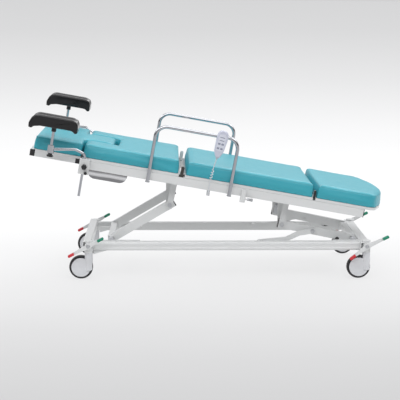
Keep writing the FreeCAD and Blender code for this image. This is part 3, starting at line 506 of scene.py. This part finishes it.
def moulded_finish(name, colour, rough, grain):
    """Moulded plastic or rubber with a spark-eroded grain and a little colour change."""
    f = Finish(name, Specular_IOR_Level=0.45)
    pits = f.cells(grain)
    tone = f.noise(18.0, 3.0)
    f.feed("Base Color", f.blend(tone, shade(colour, 0.88), shade(colour, 1.1)))
    f.feed("Roughness", rough + (tone - 0.5) * 0.1 - pits * 0.05)
    f.relief(pits, 0.00012, 0.6)
    return f.material


def pad_finish():
    """Self-skinned foam: a smooth black skin with tiny pores, slow waves and a waxy shine."""
    f = Finish("black_skinned_foam", Specular_IOR_Level=0.25, Coat_Weight=0.5, Coat_Roughness=0.09)
    pores = f.cells(1100.0)
    tone = f.noise(9.0, 4.0)
    f.feed("Base Color", f.blend(tone, (0.003, 0.0028, 0.0035, 1), (0.008, 0.007, 0.0085, 1)))
    f.feed("Roughness", 0.34 + tone * 0.1 - pores * 0.04)
    f.relief(pores * 0.3 + f.noise(40.0) * 0.7, 0.0003, 0.5)
    return f.material


def build_finishes(settings):
    colour = tuple(settings.upholstery_colour) + (1.0,)
    frame_colour = tuple(settings.frame_colour) + (1.0,)
    finishes["leather"] = upholstery_finish(colour)
    finishes["paint"] = paint_finish(frame_colour)
    finishes["chrome"] = chrome_finish()
    finishes["polished"] = pan_painted_reflection_finish()
    finishes["zinc"] = steel_finish("zinc_plated_steel", (0.55, 0.56, 0.58, 1), 0.3)
    finishes["pad"] = pad_finish()
    finishes["dark"] = steel_finish("dark_hinge_steel", (0.1, 0.095, 0.09, 1), 0.4)
    for key, name, tone, rough, grain in MOULDED:
        finishes[key] = moulded_finish(name, (*tone, 1), rough, grain)


# Groups of pieces

def puffed(node, body, swell_mm, pull_mm):
    """Foam under a stretched cover: the CAD cushion is remeshed, drawn in by the pull, blown up by cloth
    pressure with its underside held and each point's travel capped by the swell, and then smoothed."""
    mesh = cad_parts[node].data.copy()
    name = node + "_upholstery"
    mesh.name = name
    form = bmesh.new()
    form.from_mesh(mesh)
    bmesh.ops.remove_doubles(form, verts=form.verts, dist=2e-5)
    form.to_mesh(mesh)
    form.free()
    piece = bpy.data.objects.new(name, mesh)
    bpy.context.scene.collection.objects.link(piece)
    remesh = piece.modifiers.new("remesh", "REMESH")
    remesh.mode = "VOXEL"
    remesh.voxel_size = 0.006
    apply_modifiers(piece)
    mesh = piece.data
    rest, normal = mesh_points(mesh), mesh_points(mesh, "normal")
    up = from_couch([0, 0, 1000.0]) - from_couch([0, 0, 0])
    height = (rest - from_couch([0, 0, 0])) @ up
    held = height < 0.004
    start = rest - normal * (pull_mm / 1000.0) * (~held)[:, None]
    mesh.vertices.foreach_set("co", start.ravel())
    group = piece.vertex_groups.new(name="held")
    group.add(np.nonzero(held)[0].tolist(), 1.0, "REPLACE")
    cloth = piece.modifiers.new("cloth", "CLOTH")
    cloth.settings.use_pressure = True
    cloth.settings.uniform_pressure_force = 4.0
    cloth.settings.vertex_group_mass = "held"
    cloth.settings.effector_weights.gravity = 0.0
    cloth.settings.quality = 4
    for number in range(1, 17):
        bpy.context.scene.frame_set(number)
    apply_modifiers(piece)
    mesh = piece.data
    travel = mesh_points(mesh) - start
    size = np.linalg.norm(travel, axis=1)
    cap = swell_mm / 1000.0
    soft = cap * np.tanh(size / cap)
    moved = start + travel / np.maximum(size, 1e-9)[:, None] * soft[:, None]
    mesh.vertices.foreach_set("co", moved.ravel())
    bpy.context.scene.frame_set(1)
    piece.vertex_groups.clear()
    upper = piece.vertex_groups.new(name="upper")
    upper.add(np.nonzero(height > 0.012)[0].tolist(), 1.0, "REPLACE")
    for iterations, group in ((3, ""), (11, "upper")):
        smooth = piece.modifiers.new("even", "SMOOTH")
        smooth.factor = 0.5
        smooth.iterations = iterations
        smooth.vertex_group = group
    apply_modifiers(piece)
    piece.vertex_groups.clear()
    cover(piece.data, finishes["leather"])
    rounded(piece)
    seat_on(piece, body, "upholstery", node)
    return piece


def rounded(piece):
    """One level of subdivision, on screen and in the picture."""
    finer = piece.modifiers.new("round", "SUBSURF")
    finer.levels = 1
    finer.render_levels = 1


def apply_modifiers(piece):
    """Bakes a piece's modifiers into its mesh."""
    graph = bpy.context.evaluated_depsgraph_get()
    graph.update()
    baked = bpy.data.meshes.new_from_object(piece.evaluated_get(graph))
    old = piece.data
    piece.modifiers.clear()
    piece.data = baked
    bpy.data.meshes.remove(old)


def knee_pad(name, side, raised, body):
    """A knee pad: its side outline is drawn in by a quarter round towards both faces, and the part
    above the middle sinks by a parabola across the pad to make the trough."""
    y, half = side * SUPPORT_Y, 123.0
    foot, head = PAD_S - half, PAD_S + half
    corners = [(foot + 1, 127, 5), (foot - 1, 150, 26), (foot + 18, 198.5, 42), (head - 22, 198.5, 52),
               (head, 180, 34), (head + 1, 134, 6), (head - 13, 131, 7), (head - 26, 143, 26),
               (foot + 34, 142, 30), (foot + 16, 125, 8)]
    outline = finer_outline(rounded_outline(corners, 9), 8)
    rings = slab_rings(outline, -62, 62, 9, 9, 8, 15)
    s, t, w = rings[..., 0], rings[..., 1], rings[..., 2]
    share = np.clip((t - 150) / 49, 0, 1)
    t = t - share * 14.0 * np.clip(1 - (w / 46.0) ** 2, 0, 1) ** 1.1
    grid = np.stack([s, y + w, t + raised], axis=-1)
    piece = grid_piece(name, from_couch(grid), finishes["pad"], wrap_columns=True, caps=True, smooth=60)
    rounded(piece)
    seat_on(piece, body, "black_pad", name.replace("_foam", ""))
    return piece


def lobed_knob(name, centre, axis, radius, depth, lobes, finish, place):
    """A hand knob: a turned profile whose rim swells and sinks with a cosine round its lobes."""
    steps = lobes * 12
    profile = [(0.0, 0.0), (0.0, radius * 0.62), (0.6, radius * 0.7), (2.0, radius * 0.92), (3.4, radius),
               (depth - 3.4, radius), (depth - 1.2, radius * 0.93), (depth, radius * 0.7),
               (depth + 0.2, radius * 0.45), (depth - 0.6, radius * 0.38), (depth - 0.8, 0.0)]
    grid = turned(profile, centre, axis, steps)
    angle = np.linspace(0, 2 * math.pi, steps, endpoint=False)
    axis = np.asarray(axis, float) / np.linalg.norm(axis)
    centre = np.asarray(centre, float)
    out = grid - centre
    depth_part = (out @ axis)[..., None] * axis
    spread = out - depth_part
    reach = np.linalg.norm(spread, axis=2) / radius
    dip = 1 - 0.13 * (0.5 - 0.5 * np.cos(lobes * angle))[None, :] * np.clip((reach - 0.5) / 0.5, 0, 1)
    grid = centre + depth_part + spread * dip[..., None]
    return grid_piece(name, place(grid), finish, wrap_columns=True, smooth=50)


def hex_bolt(name, centre, axis, across, body, place):
    """A domed bolt head on its washer: two turned profiles, the upper one six-sided."""
    centre, axis = np.asarray(centre, float), np.asarray(axis, float)
    washer = turned([(0, 0), (0, across * 0.8), (1.2, across * 0.8), (1.6, across * 0.72), (1.6, 0)],
                    centre, axis, 28)
    head = turned([(1.4, 0), (1.4, across * 0.56), (5.2, across * 0.56), (6.4, across * 0.46), (6.6, 0)],
                  centre, axis, 6)
    points, faces = merge_grids([place(washer), place(head)])
    piece = make_piece(name, points, faces, finishes["zinc"], 30)
    return seat_on(piece, body, "steel_zinc")


# Operators

class BedSettings(bpy.types.PropertyGroup):
    """Colours and sizes of the dressed bed."""
    upholstery_colour: bpy.props.FloatVectorProperty(
        name="Upholstery", description="Colour of the artificial leather", subtype="COLOR",
        default=(0.036, 0.335, 0.41), min=0, max=1)
    frame_colour: bpy.props.FloatVectorProperty(
        name="Frame", description="Colour of the powder coat", subtype="COLOR",
        default=(0.67, 0.68, 0.68), min=0, max=1)
    swell: bpy.props.FloatProperty(
        name="Swell", description="How far the foam may push the cover out, in millimetres",
        default=5.0, min=0, max=12)
    top_light: bpy.props.FloatProperty(
        name="Top light", description="Strength of the soft light from above, in watts per square metre",
        default=1.0, min=0, max=5)
    floor_bounce: bpy.props.FloatProperty(
        name="Floor light", description="Share of the floor's tone that comes from light on it",
        default=0.17, min=0, max=1)
    cord_diameter: bpy.props.FloatProperty(
        name="Cord", description="Diameter of the hand control's cord", subtype="DISTANCE", unit="LENGTH",
        default=0.0044, min=0.003, max=0.008)


class BED_OT_stage(bpy.types.Operator):
    """Floor, light and camera"""
    bl_idname = "bed.stage"
    bl_label = "Stage"

    def execute(self, context):
        scene = context.scene
        scene.view_settings.view_transform = "Standard"
        scene.view_settings.look = "None"
        build_finishes(scene.bed)
        # Painted light: the floor glows, its emission set by the distance from the camera's line, over a faint
        # lit base colour
        floor_finish = Finish("pale_floor", Roughness=0.9, Specular_IOR_Level=0.0, Emission_Strength=1.0)
        depth = floor_finish.add("ShaderNodeSeparateXYZ", None,
                                 {0: floor_finish.add("ShaderNodeTexCoord", output=3)}, output=1)
        nearness = 1.5 / (depth + 6.017).most(0.6)
        own = scene.bed.floor_bounce
        stops = [(place, (tone - own, tone - own, tone - own + 0.003, 1)) for place, tone in FLOOR_GLOW_TONES]
        glow = floor_finish.add("ShaderNodeValToRGB", {"stops": stops}, {0: nearness})
        floor_finish.feed("Emission Color", glow)
        slow = floor_finish.noise(0.6, 2.0)
        floor_finish.feed("Base Color", floor_finish.blend(slow, (0.148, 0.149, 0.15, 1),
                                                           (0.152, 0.152, 0.153, 1)))
        angle = np.linspace(0, 2 * math.pi, 96, endpoint=False)
        ring = np.stack([np.cos(angle), np.sin(angle)], axis=1) * FLOOR_RADIUS
        grid = np.array([np.column_stack([ring * k, np.full(96, -0.0006)])
                         for k in (0.0, 0.002, 0.006, 0.015, 0.03, 0.06, 0.12, 0.3, 1.0)])
        floor = grid_piece("floor", grid, floor_finish.material, wrap_columns=True)
        self.sky(scene)
        self.lamps(scene)
        self.camera(scene)
        return {"FINISHED"}

    def sky(self, scene):
        """A grey studio sky with dark strips and a bright card for the polished parts to mirror."""
        world = bpy.data.worlds.new("studio")
        scene.world = world
        world.use_nodes = True
        tree = world.node_tree
        sky = Finish.__new__(Finish)
        sky.tree = tree
        background = tree.nodes["Background"]
        turn, ahead, height = (sky.add("ShaderNodeSeparateXYZ", None,
                                       {0: sky.add("ShaderNodeTexCoord", output=0)}, output=axis)
                               for axis in range(3))
        stops = [(0.0, (0.631, 0.631, 0.634, 1)), (0.1, (0.64, 0.64, 0.643, 1)),
                 (0.45, (0.72, 0.72, 0.725, 1)), (1.0, (0.95, 0.95, 0.95, 1))]
        ramp = sky.add("ShaderNodeValToRGB", {"stops": stops}, {0: height.most(0.0)})
        behind = 1.0 - ahead.above(0.25)
        strips = ((turn.size() - 0.5).size() * -11.0 + 2.9).most(0.0).least(1.0)
        band = ((height - 0.2).size() * -16.0 + 1.8).most(0.0).least(1.0)
        card = ((height - 0.6).size() * -8.0 + 1.5).most(0.0).least(1.0)
        dark = sky.blend((strips + band).least(1.0) * behind * 0.93, ramp, (0.02, 0.02, 0.022, 1))
        lit = sky.blend(card * 0.8, dark, (2.6, 2.6, 2.65, 1))
        tree.links.new(lit.socket, background.inputs["Color"])
        background.inputs["Strength"].default_value = 1.0

    def lamps(self, scene):
        """A wide soft sun from above and two area lamps for highlights."""
        sun = bpy.data.lights.new("soft_sky", "SUN")
        sun.energy = scene.bed.top_light
        sun.angle = math.radians(80)
        holder = bpy.data.objects.new("soft_sky", sun)
        scene.collection.objects.link(holder)
        holder.rotation_euler = Vector((-0.15, 0.35, -1.0)).to_track_quat("-Z", "Y").to_euler()
        for name, spot, aim, energy, width, deep in (
                ("key_light", (-1.8, -3.2, 3.4), (0, 0, 0.5), 18.0, 2.6, 1.2),
                ("rim_light", (1.5, 3.4, 3.2), (0, 0, 0.6), 22.0, 3.0, 1.0)):
            lamp = bpy.data.lights.new(name, "AREA")
            lamp.energy = energy
            lamp.shape = "RECTANGLE"
            lamp.size = width
            lamp.size_y = deep
            holder = bpy.data.objects.new(name, lamp)
            scene.collection.objects.link(holder)
            holder.location = spot
            holder.rotation_euler = (Vector(aim) - Vector(spot)).to_track_quat("-Z", "Y").to_euler()

    def camera(self, scene):
        """The photograph's camera: its place, turn and lens from the fit to the photo's own points."""
        yaw, pitch, roll = CAMERA_YAW, CAMERA_PITCH, CAMERA_ROLL
        ahead = Vector((math.sin(yaw) * math.cos(pitch), math.cos(yaw) * math.cos(pitch), -math.sin(pitch)))
        right = Vector((math.cos(yaw), -math.sin(yaw), 0.0))
        up = right.cross(ahead)
        right2 = right * math.cos(roll) + up * math.sin(roll)
        up2 = up * math.cos(roll) - right * math.sin(roll)
        lens = bpy.data.cameras.new("camera")
        lens.sensor_fit = "HORIZONTAL"
        lens.sensor_width = 36.0
        lens.lens = FOCAL_PIXELS / PICTURE_PIXELS * lens.sensor_width
        lens.clip_end = 200.0
        holder = bpy.data.objects.new("camera", lens)
        scene.collection.objects.link(holder)
        turn = Matrix((right2, up2, -ahead)).transposed().to_4x4()
        holder.matrix_world = Matrix.Translation(from_base(CAMERA_PLACE)) @ turn
        scene.camera = holder


class BED_OT_cord(bpy.types.Operator):
    """Hand control's cord: one smooth curve, curled between its straight lengths"""
    bl_idname = "bed.cord"
    bl_label = "Hand control cord"

    def execute(self, context):
        diameter = context.scene.bed.cord_diameter
        start, end = np.array(CURL_START), np.array(CURL_END)
        run = end - start
        length = np.linalg.norm(run)
        run = run / length
        side = np.cross(run, [1.0, 0.0, 0.0])
        side /= np.linalg.norm(side)
        other = np.cross(run, side)
        turns, per_turn = 4, 14
        share = np.linspace(0, 1, turns * per_turn + 1)
        angle = share * turns * 2 * math.pi
        reach = (CURL_RADIUS - diameter * 500.0 - 0.2) * np.minimum(1.0, np.minimum(share, 1 - share) * 9)
        helix = (start + share[:, None] * run * length + reach[:, None] * (np.cos(angle)[:, None] * side
                                                                          + np.sin(angle)[:, None] * other))
        route = np.concatenate([np.array(CORD_ROUTE[:-1]), helix, np.array(CORD_TAIL)])
        place = from_couch(route)
        tube = self.traced(place, 6, diameter / 2)
        line = place_piece("control_cord_line", tube, finishes["cord"])
        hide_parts("control_cord", "control_cord_curl")
        centre = self.traced(place, 12, 0.0)
        points = mesh_points(centre)
        length = float(np.linalg.norm(np.diff(points, axis=0), axis=1).sum())
        bpy.data.meshes.remove(centre)
        relief_top = np.array(CORD_ROUTE[0]) + np.array([0.4, 0.0, 3.5])
        aim = np.array(CORD_ROUTE[1]) - relief_top
        ribs = [(0.0, 0.0), (0.0, 4.6)]
        for k in range(6):
            ribs += [(1.2 + k * 3.0, 4.5 - k * 0.3), (1.9 + k * 3.0, 3.7 - k * 0.25),
                     (3.2 + k * 3.0, 3.7 - k * 0.25)]
        ribs += [(21.0, 2.9), (22.0, 2.4), (22.0, 0.0)]
        sleeve = turned_piece("cord_relief_sleeve", ribs, relief_top, aim, finishes["cord"], from_couch, 24)
        seat_on(sleeve, "arch_near", "cord_sheath")
        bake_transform(line)
        return {"FINISHED"}

    def traced(self, place, steps, radius):
        """The mesh of a smooth curve through the places: a tube, or its bare centre line."""
        curve = bpy.data.curves.new("cord_curve", "CURVE")
        curve.dimensions = "3D"
        spline = curve.splines.new("NURBS")
        spline.points.add(len(place) - 1)
        spline.points.foreach_set("co", np.column_stack([place, np.ones(len(place))]).ravel())
        spline.order_u = 3
        spline.use_endpoint_u = True
        spline.resolution_u = steps
        curve.bevel_depth = radius
        curve.bevel_resolution = 5
        holder = bpy.data.objects.new("cord_curve", curve)
        mesh = bpy.data.meshes.new_from_object(holder)
        bpy.data.objects.remove(holder)
        bpy.data.curves.remove(curve)
        return mesh


class BED_OT_cushions(bpy.types.Operator):
    """Four foam cushions in artificial leather"""
    bl_idname = "bed.cushions"
    bl_label = "Cushions"

    def execute(self, context):
        swell = context.scene.bed.swell
        for node, body in (("leg_cushion", "leg_section"), ("seat_cushion", "couch"),
                           ("back_cushion", "back_section"), ("head_cushion", "head_section")):
            puffed(node, body, swell, swell * 0.55)
        return {"FINISHED"}


class BED_OT_frame(bpy.types.Operator):
    """Painted steelwork of base, arms and couch, with softened edges"""
    bl_idname = "bed.frame"
    bl_label = "Painted frame"

    def execute(self, context):
        paint, black, dark = finishes["paint"], finishes["black"], finishes["dark"]
        for node, body in (("base_cross_members", "base"), ("head_lift_links", "head_links"),
                           ("head_arms", "head_arm_pair"), ("foot_arms", "foot_arm_pair"),
                           ("couch_side_rails", "couch"), ("couch_cross_tubes", "couch")):
            dressed(node, body, paint, "frame_paint", 1.2)
        dressed("infusion_socket", "couch", paint, "frame_paint", 0.6)

        def buffers(x, y, z):
            return (np.hypot(x - BUFFER_X, np.abs(y) - BUFFER_Y) < 11.8) & (z > 176.6)

        def leg_caps(s, y, t):
            low = (s < -971.5) & (t < -3.5) | (s > -760.5) & (s < -734.5) & (t < -11.9)
            return (np.abs(y) > 295.9) & low

        def plug(s, y, t):
            return np.abs(y) > 337.1

        parts = (("base_side_rails", "base", "_buffers", black, "black_plastic", buffers, base_view),
                 ("leg_frame", "leg_section", "_caps", black, "black_plastic", leg_caps, couch_view),
                 ("seat_board", "couch", "_ears", dark, "steel_zinc",
                  lambda s, y, t: (s > -220.9) & (y < 0), couch_view),
                 ("back_board", "back_section", "_leaves", dark, "steel_zinc",
                  lambda s, y, t: (s < -190.1) & (y < 0), couch_view),
                 ("head_board", "head_section", "_leaves", black, "black_plastic",
                  lambda s, y, t: (s < 502.9) & (y < 0), couch_view),
                 ("support_clamp_near", "couch", "_plug", black, "black_plastic", plug, couch_view),
                 ("support_clamp_far", "couch", "_plug", black, "black_plastic", plug, couch_view))
        for node, body, name, finish, slot, test, view in parts:
            own = "board_paint" if node.endswith("_board") else "frame_paint"
            dressed(node, body, paint, own, 1.2, "", lambda *at, test=test: ~test(*at), view)
            dressed(node, body, finish, slot, 0.6, name, test, view)
        for node, body in (("head_arm_glides", "head_arm_pair"), ("foot_arm_glides", "foot_arm_pair")):
            dressed(node, body, black, "black_plastic", 1.0, "", lambda x, y, z: np.abs(y) < 195, base_view)
            dressed(node, body, finishes["grey"], "black_plastic", 1.5, "_ends",
                    lambda x, y, z: np.abs(y) >= 195, base_view)
        dressed("rail_end_caps", "couch", black, "black_plastic", 1.0)
        dressed("cord_gland", "couch", finishes["grey"], "black_plastic", 0.6)
        for node, body in (("head_pivot_pins", "head_pins"), ("foot_pivot_pins", "foot_pins")):
            dressed(node, body, finishes["zinc"], "steel_zinc", 0.5)
        for name, side in (("near", -1.0), ("far", 1.0)):
            x, z = HEAD_LINK_PIN
            hex_bolt("link_bolt_" + name, (x, side * 209.5, z), (0, side, 0), 15, "head_links", from_base)
        return {"FINISHED"}


class BED_OT_chrome(bpy.types.Operator):
    """Side arches, leg support rods and posts"""
    bl_idname = "bed.chrome"
    bl_label = "Chrome tubes"

    def execute(self, context):
        for name in ("near", "far"):
            for kind, body in (("side_arch_", "arch_"), ("support_rod_", "support_arm_")):
                dressed(kind + name, body + name, finishes["chrome"], "chrome_tube", 0.4)
            side, top = (-SUPPORT_Y, 121.9) if name == "near" else (SUPPORT_Y, 121.9 + FAR_RAISED)

            def collar(s, y, t, side=side, top=top):
                return (np.hypot(s - POST_S, y - side) > 7.9) | (t > top)

            node, body = "support_post_" + name, "support_upright_" + name
            dressed(node, body, finishes["chrome"], "chrome_tube", 0.3, "", lambda *at: ~collar(*at))
            dressed(node, body, finishes["black"], "black_plastic", 0.6, "_collar", collar)
        return {"FINISHED"}


class BED_OT_pads(bpy.types.Operator):
    """Two black knee pads"""
    bl_idname = "bed.pads"
    bl_label = "Knee pads"

    def execute(self, context):
        knee_pad("knee_pad_near_foam", -1, 0.0, "crutch_near")
        knee_pad("knee_pad_far_foam", 1, FAR_RAISED, "crutch_far")
        return {"FINISHED"}


class BED_OT_knobs(bpy.types.Operator):
    """Clamp knobs, post knobs and the socket's wing screw"""
    bl_idname = "bed.knobs"
    bl_label = "Knobs"

    def execute(self, context):
        black = finishes["black"]
        for name, side, raised in (("near", -1.0, 0.0), ("far", 1.0, FAR_RAISED)):
            stem = turned(((0, 0), (0, 8), (4, 8.5), (5, 0)), (CLAMP_S, side * 337, -41), (0, side, 0), 24)
            stem_piece = grid_piece("clamp_knob_stem_" + name, from_couch(stem), black, wrap_columns=True)
            seat_on(stem_piece, "clamp_handle_" + name, "black_plastic", "clamp_knob_" + name)
            knob = lobed_knob("clamp_knob_head_" + name, (CLAMP_S, side * 341, -41), (0, side, 0), 14.5,
                              21.5, 6, black, from_couch)
            seat_on(knob, "clamp_handle_" + name, "black_plastic")
            neck = turned(((0, 0), (0, 10.5), (5, 10.5), (9, 12.5), (10.5, 0)),
                          (POST_S, side * SUPPORT_Y, 7.3 + raised), (0, 0, -1), 32)
            neck_piece = grid_piece("post_knob_neck_" + name, from_couch(neck), black, wrap_columns=True)
            seat_on(neck_piece, "post_handle_" + name, "black_plastic", "post_knob_" + name)
            disc = lobed_knob("post_knob_disc_" + name, (POST_S, side * SUPPORT_Y, -1.5 + raised),
                              (0, 0, -1), 17.4, 11.0, 7, black, from_couch)
            seat_on(disc, "post_handle_" + name, "black_plastic")
        dressed("socket_wing_screw", "socket_screw", finishes["zinc"], "steel_zinc", 0.5)
        return {"FINISHED"}


class BED_OT_castors(bpy.types.Operator):
    """Castor wheels and their covered forks"""
    bl_idname = "bed.castors"
    bl_label = "Castors"

    def execute(self, context):
        tread = [(-12.0, 49.5), (-13.0, 51.5), (-13.0, 59.0), (-11.0, 61.2), (-7.5, 62.3),
                 (0.0, WHEEL_RADIUS), (7.5, 62.3), (11.0, 61.2), (13.0, 59.0), (13.0, 51.5), (12.0, 49.5),
                 (-12.0, 49.5)]
        disc = [(-9.0, 0.0), (-11.0, 9.0), (-11.0, 14.0), (-8.0, 17.0), (-7.0, 40.0), (-10.5, 46.0),
                (-11.8, 49.8), (11.8, 49.8), (10.5, 46.0), (7.0, 40.0), (8.0, 17.0), (11.0, 14.0),
                (11.0, 9.0), (9.0, 0.0)]
        for name, x, y in (("near_foot", -WHEEL_X, -WHEEL_Y), ("far_foot", -WHEEL_X, WHEEL_Y),
                           ("near_head", WHEEL_X, -WHEEL_Y), ("far_head", WHEEL_X, WHEEL_Y)):
            dressed("castor_fork_" + name, "castor_" + name, finishes["castor"], "light_plastic", 1.2)
            hub = (x, y, WHEEL_RADIUS)
            tyre = turned_piece("tyre_" + name, tread, hub, (0, 1, 0), finishes["tyre"], from_base, 96)
            seat_on(tyre, "wheel_" + name, "castor_tyre", "castor_wheel_" + name)
            rim = turned_piece("rim_" + name, disc, hub, (0, 1, 0), finishes["castor"], from_base, 96)
            seat_on(rim, "wheel_" + name, "castor_tyre")
        return {"FINISHED"}


class BED_OT_pedals(bpy.types.Operator):
    """Brake bars with their coloured pedal pads"""
    bl_idname = "bed.pedals"
    bl_label = "Brake pedals"

    def execute(self, context):
        for name, (hub, red, green) in LEVERS.items():
            hub = np.array(hub)
            ends = []
            for run in (red, green):
                run = np.array(run, float)
                ends.append((run / np.linalg.norm(run), float(np.linalg.norm(run))))

            def plates(x, y, z, hub=hub, ends=ends):
                out = np.ones(len(x), bool)
                for run, length in ends:
                    out &= (x - hub[0]) * run[0] + (z - hub[1]) * run[1] < length - PLATE_SHORT
                return out

            body = "lock_" + name
            dressed("lock_bar_" + name, body, finishes["paint"], "frame_paint", 1.0, "", plates, base_view)
            for colour, (run, length) in zip(("red", "green"), ends):
                for where, side in (("near", -1.0), ("far", 1.0)):
                    self.pad(f"pedal_{colour}_{name}_{where}", hub, run, length, side, colour, body)
            for where, side in (("near", -1.0), ("far", 1.0)):
                hex_bolt(f"lever_bolt_{name}_{where}", (hub[0], side * 324, hub[1]), (0, side, 0), 13,
                         body, from_base)
        return {"FINISHED"}

    def pad(self, name, hub, run, length, side, colour, body):
        """A ribbed pedal pad: a rounded bar along the lever that swells and sinks by a cosine."""
        across = np.array([-run[1], run[0]])
        outline = rounded_outline([(length - 12, -7, 3), (length + 24, -7, 6), (length + 24, 7, 6),
                                   (length - 12, 7, 3)], 6)
        rings = slab_rings(finer_outline(outline, 1.2), 313, 333, 3, 3, 5, 6)
        u, w, y = rings[..., 0], rings[..., 1], rings[..., 2]
        w = w * (1 - 0.06 * (0.5 + 0.5 * np.cos((u - length) * 2 * math.pi / 6.0)))
        place = hub + u[..., None] * run + w[..., None] * across
        grid = np.stack([place[..., 0], side * y, place[..., 1]], axis=-1)
        piece = grid_piece(name, from_base(grid), finishes[colour], wrap_columns=True, caps=True, smooth=50)
        return seat_on(piece, body, "key_rubber")


class BED_OT_control(bpy.types.Operator):
    """Hand control and its keys"""
    bl_idname = "bed.control"
    bl_label = "Hand control"

    def execute(self, context):
        outline = [(-8.5, 0.5, 4), (8.5, 0.5, 4), (24, 34, 26), (29, 96, 44), (27, 145, 23),
                   (-27, 145, 23), (-29, 96, 44), (-24, 34, 26)]
        self.layer("handset_shell", outline, 9, (326.6, 352.4, 5, 7, 7, 1), "handset", "handset_plastic",
                   "hand_control")
        film = [(-17.5, 40, 5), (17.5, 40, 5), (18.5, 126, 8), (-18.5, 126, 8)]
        self.layer("keypad_film", film, 5, (352.2, 352.9, 0.3, 0.3, 3, 1), "keypad", "handset_plastic")
        for row in (94.0, 110.0):
            mark = [(-13, row - 2.2, 2), (13, row - 2.2, 2), (13, row + 2.2, 2), (-13, row + 2.2, 2)]
            self.layer(f"keypad_bar_{row:.0f}", mark, 4, (352.8, 353.1, 0.1, 0.1, 2, 1), "key", "key_rubber")
        dressed("hand_control", "arch_near", finishes["handset"], "handset_plastic", 0.5, "_hook",
                lambda s, y, t: y > -326.4)
        for number in range(1, 5):
            dressed(f"control_key_{number}", f"key_{number}", finishes["key"], "key_rubber", 0.5)
        return {"FINISHED"}

    def layer(self, name, corners, step, slab, finish, slot, *nodes):
        """One layer of the handset: an outline (x, height, radius) as a rounded slab that faces outwards,
        leaned with the control."""
        rings = slab_rings(rounded_outline(corners, step), *slab)
        x, z, depth = rings[..., 0], rings[..., 1], rings[..., 2]
        (s, t), lean = CONTROL_PLACE, CONTROL_LEAN
        grid = np.stack([s + x * math.cos(lean) + z * math.sin(lean), -depth,
                         t - x * math.sin(lean) + z * math.cos(lean)], axis=-1)
        smooth = 40.0 if finish == "key" else 50.0
        piece = grid_piece(name, from_couch(grid), finishes[finish], False, True, True, smooth)
        return seat_on(piece, "arch_near", slot, *nodes)


class BED_OT_pan(bpy.types.Operator):
    """Polished drain pan"""
    bl_idname = "bed.pan"
    bl_label = "Drain pan"

    def execute(self, context):
        # The pan and its rim both carry the painted reflections of the polished finish
        dressed("drain_pan", "pan", finishes["polished"], "steel_polished", 0.5)
        outline = rounded_outline([(PAN_FOOT_S, -PAN_HALF, 8), (PAN_HEAD_S, -PAN_HALF, 8),
                                   (PAN_HEAD_S, PAN_HALF, 8), (PAN_FOOT_S, PAN_HALF, 8)], 6)
        normal = inward(outline)
        swing = np.linspace(0, 2 * math.pi, 12, endpoint=False)
        at = outline[None] + normal[None] * (np.cos(swing) * PAN_RIM_RADIUS)[:, None, None]
        rise = np.broadcast_to((PAN_RIM_T + np.sin(swing) * PAN_RIM_RADIUS)[:, None], at.shape[:2])
        grid = np.concatenate([at, rise[..., None]], axis=-1)
        rim = grid_piece("drain_pan_rim", from_couch(grid), finishes["polished"], True, True)
        seat_on(rim, "pan", "steel_polished")
        return {"FINISHED"}


class BED_PT_panel(bpy.types.Panel):
    """Lists the bed's pieces in the sidebar"""
    bl_idname = "BED_PT_panel"
    bl_label = "Examination bed"
    bl_space_type = "VIEW_3D"
    bl_region_type = "UI"
    bl_category = "Bed"

    def draw(self, context):
        settings = context.scene.bed
        for name in ("upholstery_colour", "frame_colour", "swell", "top_light", "floor_bounce",
                     "cord_diameter"):
            self.layout.prop(settings, name)
        for operator in OPERATORS:
            self.layout.operator(operator.bl_idname)


OPERATORS = (BED_OT_stage, BED_OT_cord, BED_OT_cushions, BED_OT_frame, BED_OT_chrome, BED_OT_pads,
             BED_OT_knobs, BED_OT_castors, BED_OT_pedals, BED_OT_control, BED_OT_pan)


def register():
    bpy.utils.register_class(BedSettings)
    for operator in OPERATORS:
        bpy.utils.register_class(operator)
    bpy.utils.register_class(BED_PT_panel)
    bpy.types.Scene.bed = bpy.props.PointerProperty(type=BedSettings)


def unregister():
    del bpy.types.Scene.bed
    bpy.utils.unregister_class(BED_PT_panel)
    for operator in reversed(OPERATORS):
        bpy.utils.unregister_class(operator)
    bpy.utils.unregister_class(BedSettings)


def main():
    register()
    for operator in OPERATORS:
        group, name = operator.bl_idname.split(".")
        getattr(getattr(bpy.ops, group), name)()


if __name__ == "__main__":
    main()
